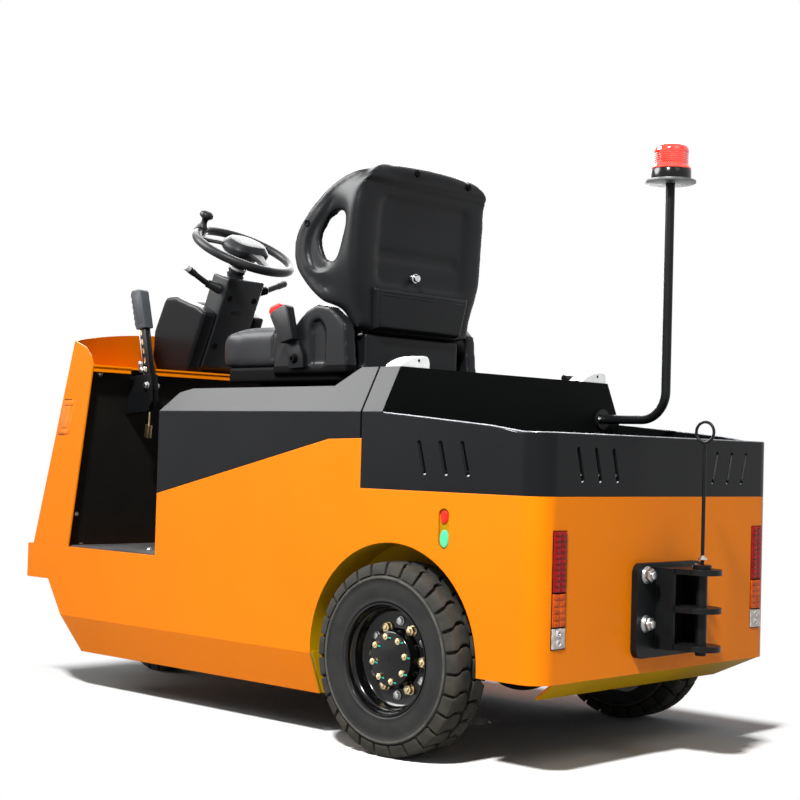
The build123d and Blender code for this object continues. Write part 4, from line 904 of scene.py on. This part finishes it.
def addLevers():
    for side, tip, name in ((1, (1058, 1142), "left"), (-1, (1076, 1132), "right")):
        joint = (1062, side * 111, 1104)
        boot = bmesh.new()
        place, reach = between((1066, side * 58, 1092), joint)
        ribs = [(reach * k / 14, (15.5 if k % 2 else 12.2) - 4.2 * k / 14) for k in range(1, 14)]
        addLathe(boot, [(0, 0), (0, 15)] + ribs + [(reach, 8.4), (reach + 3, 8), (reach + 3, 0)], place, 28)
        addPiece(name + "LeverBoot", boot, "tractor", "seatShellPlastic",
                 ("column_levers",) if side > 0 else ())
        stalk = bmesh.new()
        place, reach = between(joint, (tip[0], side * 192, tip[1]))
        grip = [(0, 7), (8, 8.4), (reach * 0.55, 8.2), (reach * 0.6, 9.6), (reach - 16, 9.8)]
        end = [(reach - 15, 9), (reach - 10, 9), (reach - 9, 9.8), (reach - 1, 9.6), (reach, 8.4), (reach, 0)]
        if side < 0:
            addLathe(stalk, [(0, 0)] + grip + end, place, 28)
            addPiece("rightLever", stalk, "tractor", "controlNylon")
            continue
        addLathe(stalk, [(0, 0)] + grip + end[:1] + [(reach - 14, 0)], place, 28)
        addPiece("leftLever", stalk, "tractor", "controlNylon")
        cap = bmesh.new()
        addLathe(cap, [(reach - 15, 0), (reach - 15, 9.2), (reach - 1.4, 9.6), (reach, 8.4), (reach, 5.6),
                       (reach - 1.6, 5.2), (reach - 1.6, 0)], place, 28)
        addPiece("leftLeverTip", cap, "tractor", "tipPlasticPale")


addHandWheel()
addColumn()
addLevers()
print("steering made")

# Parking brake: a ribbed grip on a pressed channel in its quadrant, and the two pedals
brake = {"pivot": (1090, 812), "y": 270, "fingers": 6, "bump": 2.6}


def addBrake():
    px, pz = brake["pivot"]
    y = brake["y"]
    grip = bmesh.new()
    front = []
    for k in range(brake["fingers"] * 6 + 1):
        t = k / (brake["fingers"] * 6)
        swell = brake["bump"] * abs(sin(pi * t * brake["fingers"]))
        front.append((1149 + 26 * t + swell, 972 + 92 * t - swell * 0.3))
    outline = [(1107, 970), (1145, 964)] + front + [(1172, 1072), (1140, 1075), (1133, 1070)]
    addPrism(grip, outline, sideOn(y + 15), 30)
    addPiece("brakeGrip", grip, "tractor", "gripPvcGrey", ("brake_lever",), 2.4, 3, sharp=50)
    inlay = bmesh.new()
    for side in (-1, 1):
        place = sideOn(y + side * 15 + 0.8)
        addPrism(inlay, [(1117, 984), (1141, 980), (1164, 1056), (1140, 1062)], place, 1.6)
    addPiece("brakeGripPanels", inlay, "tractor", "gripPvcGrey", bevel=0.6)
    channel = bmesh.new()
    for low in (8.5, -5.5):
        addPrism(channel, [(px - 14, pz - 14), (px + 8, pz - 17), (px + 30, pz + 60), (px + 51, 970), (px + 24, 970)],
                 sideOn(y + low), 3)
    addPrism(channel, [(px + 2, pz + 30), (px + 5, pz + 29), (px + 29, 970), (px + 26, 970)], sideOn(y + 8), 16)
    addPiece("brakeChannel", channel, "tractor", "powderCoatBlack", bevel=0.7)
    hole = bmesh.new()
    turns = [2 * pi * (k + 0.5) / 20 for k in range(20)]
    oval = [(4.6 * cos(a) + (3 if cos(a) > 0 else -3), 3.6 * sin(a)) for a in turns]
    addPrism(hole, oval, Matrix.Identity(4), 0.4)
    lean = Matrix.Rotation(radians(74), 4, "Z")
    putAt("brakeChannelSlots", hole, [sideOn(y + 8.8, px + 14 + 7 * k, pz + 44 + 25 * k) @ lean for k in range(5)],
          "tractor", "yellowChromate")
    rods = bmesh.new()
    addTube(rods, [(px + 22, y, pz - 8), (px + 38, y, pz + 60), (px + 60, y, 968)], 3, 12)
    for z, x in ((pz + 58, px + 33), (pz + 42, px + 26)):
        addTube(rods, [(x, y - 19, z), (x, y + 19, z)], 4, 12)
        for side in (-1, 1):
            place = facing(x, y + side * 13, z, (0, side, 0))
            addLathe(rods, [(0, 0), (0, 8.5), (4, 8.5), (5, 7.5), (5, 0)], place, 6)
    for side in (-1, 1):
        addLathe(rods, [(0, 0), (0, 11), (2, 11), (2, 8), (8, 7.6), (9, 6.6), (9, 0)],
                 facing(px, y + side * 14, pz, (0, side, 0)), 24)
    addPrism(rods, [(px + 12, pz + 36), (px + 44, pz + 46), (px + 46, pz + 56), (px + 14, pz + 50)], sideOn(y + 12), 3)
    addPiece("brakeFittings", rods, "tractor", "zincPlate", bevel=0.5)
    links = bmesh.new()
    addTube(links, [(px + 8, y - 4, pz - 20), (px + 16, y - 10, pz - 70), (px + 26, y - 16, pz - 118)], 2.6, 10)
    addPrism(links, [(px + 18, pz - 108), (px + 34, pz - 104), (px + 38, pz - 138), (px + 22, pz - 142)],
             sideOn(y - 10), 12)
    addPiece("brakeLink", links, "tractor", "yellowChromate", bevel=0.8)
    pads = bmesh.new()
    for k in range(7):
        t = (k + 0.5) / 7
        spot = facing(1118 - 28 * t, 40, 470 + 80 * t, (-0.94, 0, -0.33))
        addBox(pads, spot @ Matrix.Translation((0, 0, 1)), (78, 5.5, 4))
    addPiece("brakePedalRibs", pads, "tractor", "rubberMatGrey", bevel=1)
    treads = bmesh.new()
    for k in range(9):
        t = (k + 0.7) / 9.4
        spot = facing(1001 + 143 * t, -140, 393 + 61 * t, (-0.392, 0, 0.92), (1, 0, 0))
        addBox(treads, spot @ Matrix.Translation((0, 0, 1)), (58, 6, 3.4))
    addPiece("throttlePedalRibs", treads, "tractor", "rubberMatGrey", bevel=1)
    print("brake and pedals made")


addBrake()

# Lamps: tail lamps in three colours, amber markers, headlamps, the side call buttons and the beacon
lamp = {"y": (353, 397), "rearX": -394.4, "deep": 9, "markerLow": 670, "markerLean": 0.28,
        "call": (-133, 432, 492), "parts": (  # name, finish, slot, lowest and highest point
            ("Red", "lensRed", "lamp_red", 376, 500), ("Amber", "lensAmber", "lamp_amber", 307, 375),
            ("Clear", "lensClear", "lamp_clear", 263, 306))}


def rearPlace(x, y=0, z=0):
    return facing(x, y, z, (-1, 0, 0))


def addTailLamp(side, name):
    middle = side * sum(lamp["y"]) / 2
    well = bmesh.new()
    addBox(well, Matrix.Translation((-383, middle, 381.6)), (18, 45.6, 240))
    addPiece(name + "TailLampCase", well, "tractor", "recessBlackPaintedShade", ("tail_lamp_" + name,), 0.6)
    for part, finish, slot, low, high in lamp["parts"]:
        lens = bmesh.new()
        addBox(lens, Matrix.Translation((lamp["rearX"] + lamp["deep"] / 2, middle, (low + high) / 2)),
               (lamp["deep"], 42.6, high - low - 1.4))
        addPiece(f"{name}TailLens{part}", lens, "tractor", finish, (), 1.8, 3)
        cell = bmesh.new()
        if part == "Clear":
            addLathe(cell, [(-1, 3), (1.6, 4), (2, 6), (1.6, 8), (-1, 9)], Matrix.Identity(4), 20)
            spots = [(0, 0.27), (0, 0.73)]
        else:
            addBox(cell, Matrix.Identity(4), (15.5, 8.4 if part == "Red" else 11, 3))
            rows = 11 if part == "Red" else 5
            spots = [(s * 9.6, (k + 0.5) / rows) for k in range(rows) for s in (-1, 1)]
        putAt(f"{name}TailRelief{part}", cell, [rearPlace(lamp["rearX"], middle + across, low + (high - low) * t)
                                                for across, t in spots], "tractor", finish, bevel=1.1)


def markerShape(low, high, inset=0):
    # the marker's outline between two heights: it leans back as the cowl does
    back = [lamp["markerLean"] * (z - lamp["markerLow"]) for z in (low, high)]
    return [(1274.5 - back[0] - inset, low), (1274.5 - back[1] - inset, high),
            (1218 - back[1] + inset, high), (1218 - back[0] + inset, low)]


def addMarker(side, name):
    place = facing(0, 0, 0, (0, side, 0))
    turned = -1 if side > 0 else 1
    outer = markerShape(670, 770)
    back = bmesh.new()
    addPrism(back, [(turned * x, z) for x, z in outer], place @ Matrix.Translation((0, 0, 426)), 11.5)
    addPiece(name + "MarkerBack", back, "tractor", "lensShadow", ("marker_lamp_" + name,))
    marker = bmesh.new()
    inner = [(1270.5, 673.5), (1246, 766.5), (1194, 766.5), (1221.5, 673.5)]
    addPrism(marker, [(turned * x, z) for x, z in inner], place @ Matrix.Translation((0, 0, 436)), 4.4)
    addPiece(name + "MarkerLens", marker, "tractor", "lensOrange", (), 1.6, 2)
    relief = bmesh.new()
    for low, high, inset in ((677, 688, 9), (752, 763, 9), (692, 748, 15)):
        shape = markerShape(low, high, inset)
        addPrism(relief, [(turned * x, z) for x, z in shape], place @ Matrix.Translation((0, 0, 439)), 3.6)
    addPiece(name + "MarkerRelief", relief, "tractor", "lensOrange", (), 1.5, 2)


def addHeadlamp(side, name):
    head = bmesh.new()
    place = frontOn(1348, side * 275, 700)
    addLathe(head, [(-90, 0), (-90, 36), (-60, 37), (-58, 51), (4, 51.8), (9, 51.2), (11.6, 49), (11.2, 45),
                    (5, 43.6), (5, 0)], place, 64)
    addPiece(name + "HeadlampCase", head, "tractor", "powderCoatBlack", ("headlamp_" + name,))
    glass = bmesh.new()
    addLathe(glass, [(4, 43.4), (6.4, 43.2), (9, 36), (11, 22), (11.8, 8), (11.9, 0)], place, 64)
    addPiece(name + "HeadlampGlass", glass, "tractor", "lensClear")


def addCallButtons():
    # painted shade: the plate behind the buttons takes the darker olive orange for the recess's shade
    plate = bmesh.new()
    ends = [(19.5 * cos(a), 27 + 19.5 * sin(a)) for a in (pi * k / 16 for k in range(17))]
    place = facing(*lamp["call"], (0, 1, 0))
    addPrism(plate, ends + [(-x, -z) for x, z in ends], place, 1)
    addPiece("callPlate", plate, "tractor", "powderCoatPaintedShade", ("side_indicator",))
    for part, finish, x, z, wide, high in (("Red", "buttonRed", -1.5, 25, 10.5, 14.5),
                                           ("Green", "buttonGreen", -1, -21, 12, 19)):
        button = bmesh.new()
        rings = [[place @ Vector((x + wide * k * cos(a), z + high * k * sin(a), rise))
                  for a in (2 * pi * i / 40 for i in range(40))]
                 for k, rise in ((1, 0.6), (1, 2.6), (0.95, 3.7), (0.84, 4.5), (0.6, 4.9), (0.2, 5))]
        addRings(button, rings, True, True, True)
        addPiece("callButton" + part, button, "tractor", finish, sharp=50)


def addBeacon():
    place = Matrix.Translation((-140, -360, 1366))
    dome = bmesh.new()
    ribs = [(14 + 2.5 * k, 43.6 if k % 2 else 42.2) for k in range(12)]
    addLathe(dome, [(0, 0), (0, 50.4), (2.6, 50.6), (4, 49.8), (9, 45), (12, 44)] + ribs
             + [(45, 44), (52, 43), (57, 40), (60.4, 34), (62, 22), (62, 0)], place, 72)
    addPiece("beaconDome", dome, "tractor", "lensRedBright", ("beacon_lens",), sharp=30)
    base = bmesh.new()
    addLathe(base, [(-31, 0), (-31, 49.6), (-28, 50.8), (-3, 50.8), (-0.4, 49.4), (-0.4, 0)], place, 72)
    addPiece("beaconBase", base, "tractor", "rimEnamel", ("beacon_base",))
    disc = bmesh.new()
    addLathe(disc, [(-33.8, 0), (-33.8, 60), (-32.6, 62.6), (-30, 63), (-27.4, 62.6), (-26.6, 61), (-28, 56), (-28, 0)],
             place, 72)
    addPiece("beaconDisc", disc, "tractor", "discSteelGrey")
    nut = bmesh.new()
    addNut(nut, 9, 4, 6.4)
    putAt("poleFootNuts", nut, [rearPlace(46.8, -360 + y, 748) for y in (-17.5, 17.5)], "tractor", "zincPlate",
          bevel=0.4)
    print("beacon made")


for side, name in ((1, "left"), (-1, "right")):
    addTailLamp(side, name)
    addMarker(side, name)
    addHeadlamp(side, name)
addCallButtons()
print("lamps made")
addBeacon()

# Towing hitch bolts, hinge caps, screws, and painted highlights round the tray's rim and at the slots
hardware = {"linerScrews": [(1170, 383, 839), (1240, 396, 461)], "floorScrews": [(1255, 366), (954, 364)],
            "hitchBolts": [(93, 300), (93, 403), (-93, 300), (-93, 403)], "edgeR": 1.9, "capY": (286, 382),
            "sideSlot": (-74.4, 435.6, 608.6), "rearSlot": (-388.6, 304.6, 602.6), "slotPitch": 61, "slotLean": 15}


def addFasteners():
    bolt = bmesh.new()
    addLathe(bolt, [(0, 0), (0, 19), (3, 19), (3, 16.5), (6, 16), (6, 0)], Matrix.Identity(4), 32)
    hexagon = [(15.2 * cos(pi / 3 * k), 15.2 * sin(pi / 3 * k)) for k in range(6)]
    addPrism(bolt, hexagon, Matrix.Translation((0, 0, 5.5)), 10)
    addLathe(bolt, [(14, 0), (14, 9), (21, 9), (22.4, 7.6), (22.4, 0)], Matrix.Identity(4), 24)
    putAt("hitchBolts", bolt, [rearPlace(-407, y, z) @ Matrix.Rotation(0.4 * k, 4, "Z")
                               for k, (y, z) in enumerate(hardware["hitchBolts"])], "tractor", "zincPlate",
          bevel=0.8)
    collar = bmesh.new()
    addLathe(collar, [(0, 0), (0, 9.5), (3.4, 9.5), (5, 8), (5, 4.6), (9, 4.4), (9, 0)],
             Matrix.Translation((-486, 0, 438)), 24)
    addPiece("pinCollar", collar, "pin", "zincPlate")
    screw = bmesh.new()
    addLathe(screw, [(0, 0), (0, 8.6), (1.4, 8.6), (2, 6.6), (5, 5.4), (6, 3.4), (5, 2.6), (5, 0)], Matrix.Identity(4), 24)
    places = [facing(x - 2.2, side * y, z, (-1, 0, -0.17)) for x, y, z in hardware["linerScrews"] for side in (-1, 1)]
    places += [Matrix.Translation((x, side * y, 379)) for x, y in hardware["floorScrews"] for side in (-1, 1)]
    putAt("panelScrews", screw, places, "tractor", "zincPlate")


def addHingeCap(side, name):
    crown = [(382, 840), (381.5, 844), (366, 853.5), (346, 861.5), (326, 866), (306, 867.5), (293, 866), (287, 861),
             (286, 854), (286, 840)]
    cap = bmesh.new()
    shift = 0 if side > 0 else -sum(hardware["capY"])  # both caps slope down to the left
    addPrism(cap, [(y + shift, z) for y, z in crown], frontOn(58), 46)
    for k in range(4):
        y = 300 + 17 * k
        z = interpolate([(286, 864), (306, 866), (326, 864.5), (366, 852)], y)
        addTube(cap, [(61, y + shift, z - 2), (80, y + shift, z), (99, y + shift, z - 2)], 2.8, 12)
    addMoulding(name + "HingeCap", cap, "tractor", "capPlasticWhite", ("hinge_cap_" + name,), 2, 4)
    # painted shade: a near-black dot stands for the shade in each cap's screw hole
    dots = bmesh.new()
    addLathe(dots, [(0, 0), (0, 3.4), (0.8, 3.4), (0.8, 0)], facing(58.4, 322 + shift, 856, (-1, 0, 0)), 16)
    addPiece(name + "HingeCapScrew", dots, "tractor", "recessBlackPaintedShade")


def addWheelhouseWebs():
    # the wheelhouses' front walls run down behind the skirts, in the olive painted shade
    web = bmesh.new()
    for side in (1, -1):
        wall = [(341, 99), (397, 99), (432, 191), (432, 196), (341, 196)]
        addPrism(web, [(side * y, z) for y, z in wall], frontOn(258), 4)
    addPiece("wheelhouseWebs", web, "tractor", "powderCoatPaintedShade")


def addCoverHighlights():
    # painted highlights: small glowing pale crescents at the foot of each slot, where its lip catches the light
    scoop = bmesh.new()
    arc = [radians(205 + 13 * k) for k in range(11)]
    addPrism(scoop, [(5.3 * cos(a), 5.3 * sin(a)) for a in arc], Matrix.Identity(4), 1.6)
    spots = []
    for k in range(3):
        along = hardware["slotPitch"] * k
        for side in (1, -1):
            lean = Matrix.Rotation(side * radians(hardware["slotLean"]), 4, "Z")
            x, y, z = hardware["sideSlot"]
            spots.append(facing(x - along, side * y, z, (0, side, 0)) @ lean)
            x, y, z = hardware["rearSlot"]
            spots.append(rearPlace(x, side * (y - along), z) @ lean)
    putAt("slotLips", scoop, spots, "tractor", "slotLipPaintedHighlight", bevel=0.4)
    # painted highlight: a pale grey bead round the tray's rim, where the cover's edge takes the light
    edge = bmesh.new()
    half, rear, r, t = 437, -390, 50, hardware["edgeR"]
    side = [(52, half, 735.5), (-60, half, 726.5), (-255, half, 709.5), (rear + r, half, 698)]
    corner = [(rear + r - r * sin(a), half - r + r * cos(a), 697.4) for a in (pi / 2 * k / 8 for k in range(1, 9))]
    path = side + corner
    addTube(edge, path + mirrored(path)[::-1], t, 8)
    addPiece("trayRimEdge", edge, "tractor", "rimPaintedHighlight")


addFasteners()
for side, name in ((1, "left"), (-1, "right")):
    addHingeCap(side, name)
addWheelhouseWebs()
addCoverHighlights()
print("hardware made")

# Camera, floor and lights
view = {"place": (-2369, 2940, 647), "heading": 46.526, "rise": 1.922, "roll": 1.5805, "lens": 71.93}


def addCamera():
    heading, rise, roll = (radians(view[key]) for key in ("heading", "rise", "roll"))
    ahead = Vector((cos(heading) * cos(rise), -sin(heading) * cos(rise), sin(rise)))
    level = ahead.cross(Vector((0, 0, 1))).normalized()
    over = level.cross(ahead)
    right = level * cos(roll) + over * sin(roll)
    up = over * cos(roll) - level * sin(roll)
    data = bpy.data.cameras.new("camera")
    data.lens, data.sensor_width = view["lens"], 36
    data.clip_end = 60
    camera = bpy.data.objects.new("camera", data)
    camera.matrix_world = axes(right, up, -ahead, Vector(view["place"]) / 1000 + Vector((axleX, 0, 0)))
    bpy.context.scene.collection.objects.link(camera)
    bpy.context.scene.camera = camera


def backdropRays(tree):
    rays = addNode(tree, "ShaderNodeLightPath")
    seen = addNode(tree, "ShaderNodeMath", {0: rays.outputs["Is Camera Ray"], 1: rays.outputs["Is Glossy Ray"]},
                   operation="MAXIMUM")
    return addNode(tree, "ShaderNodeMath", {0: seen.outputs[0], 1: rays.outputs["Is Transmission Ray"]},
                   operation="MAXIMUM").outputs[0]


studio = {"ambient": 0.18, "floorHalf": (950, 570), "clearTo": 1.2, "lights": (
    # name, place, aim, width, watts, whether it lights matt surfaces and whether it lights the floor
    ("keyLight", (-1400, 3150, 4000), (300, 0, 400), 500, 385, True, True),
    ("slopeCard", (2840, 2070, 3200), (200, 300, 750), 2500, 330, False, True),
    ("skyCard", (2770, -2080, 2980), (1050, 0, 1100), 4000, 290, False, True),
    ("sideCard", (3000, 3200, 1500), (200, 300, 700), 3000, 14, False, True),
    ("frontFill", (2600, 2600, 2600), (300, 0, 500), 1800, 20, True, True),
    ("rearFill", (-2900, 400, 3300), (-300, 0, 450), 1500, 12, True, True),
    ("shadeFill", (2700, -3300, 1500), (500, 0, 500), 2000, 62, True, False))}


def addWorld():
    bpy.context.scene.view_settings.view_transform = "Standard"
    world = bpy.context.scene.world = bpy.data.worlds.new("studio")
    world.use_nodes = True
    tree = world.node_tree
    tree.nodes.clear()
    plain = addNode(tree, "ShaderNodeBackground", {"Color": hexColour("#E9EEF5"), "Strength": studio["ambient"]})
    white = addNode(tree, "ShaderNodeBackground", {"Color": (1, 1, 1, 1), "Strength": 1.0})
    mixed = addNode(tree, "ShaderNodeMixShader", {0: backdropRays(tree), 1: plain.outputs[0], 2: white.outputs[0]})
    addNode(tree, "ShaderNodeOutputWorld", {"Surface": mixed.outputs[0]})


def addFloor():
    floor = bmesh.new()
    addRings(floor, [[(-9000, -9000, 0), (9000, -9000, 0)], [(-9000, 9000, 0), (9000, 9000, 0)]], closed=False)
    obj = toMetres(objectFrom(floor, "studioFloor"))
    material = bpy.data.materials.new("studioFloor")
    material.use_nodes = True
    tree = material.node_tree
    tree.nodes.clear()
    # white to the eye, grey to the light that bounces, and clear beyond the shadow
    seen = addNode(tree, "ShaderNodeLightPath").outputs["Is Camera Ray"]
    tone = addNode(tree, "ShaderNodeMix", {0: seen, 6: hexColour("#BDBDBB"), 7: hexColour("#FAFAF9")}, data_type="RGBA")
    matt = addNode(tree, "ShaderNodeBsdfDiffuse", {"Color": tone.outputs[2]})
    clear = addNode(tree, "ShaderNodeEmission", {"Color": (1, 1, 1, 1)})
    place = addNode(tree, "ShaderNodeTexCoord").outputs["Object"]
    apart = addNode(tree, "ShaderNodeVectorMath", {0: place}, operation="ABSOLUTE")
    split = addNode(tree, "ShaderNodeSeparateXYZ", {0: apart.outputs[0]})
    shares = [addNode(tree, "ShaderNodeMath", {0: split.outputs[axis], 1: 1000 / half}, operation="MULTIPLY").outputs[0]
              for axis, half in zip("XY", studio["floorHalf"])]
    reach = addNode(tree, "ShaderNodeMath", {0: shares[0], 1: shares[1]}, operation="MAXIMUM")
    fade = addNode(tree, "ShaderNodeMapRange", {"Value": reach.outputs[0], "From Min": 1.0,
                                                "From Max": studio["clearTo"]}, interpolation_type="SMOOTHSTEP")
    share = addNode(tree, "ShaderNodeMath", {0: fade.outputs[0], 1: backdropRays(tree)}, operation="MULTIPLY")
    surface = addNode(tree, "ShaderNodeMixShader", {0: share.outputs[0], 1: matt.outputs[0], 2: clear.outputs[0]})
    addNode(tree, "ShaderNodeOutputMaterial", {"Surface": surface.outputs[0]})
    obj.data.materials.append(material)
    return obj


def addLights(floor):
    # the fill on the far side leaves the floor alone, so the shadow stays dark
    offFloor = bpy.data.collections.new("offFloor")
    offFloor.objects.link(floor)
    offFloor.collection_objects[0].light_linking.link_state = "EXCLUDE"
    for name, spot, aim, width, watts, matted, floored in studio["lights"]:
        lampData = bpy.data.lights.new(name, "AREA")
        lampData.shape = "DISK"
        lampData.size, lampData.energy = width / 1000, watts
        light = bpy.data.objects.new(name, lampData)
        start, end = Vector(spot) / 1000, Vector(aim) / 1000
        light.matrix_world = Matrix.Translation(start + Vector((axleX, 0, 0))) @ (
            (end - start).to_track_quat("-Z", "Y").to_matrix().to_4x4())
        light.visible_diffuse = matted
        light.visible_camera = False
        if not floored:
            light.light_linking.receiver_collection = offFloor
        bpy.context.scene.collection.objects.link(light)


addCamera()
addWorld()
addLights(addFloor())
print("studio made")
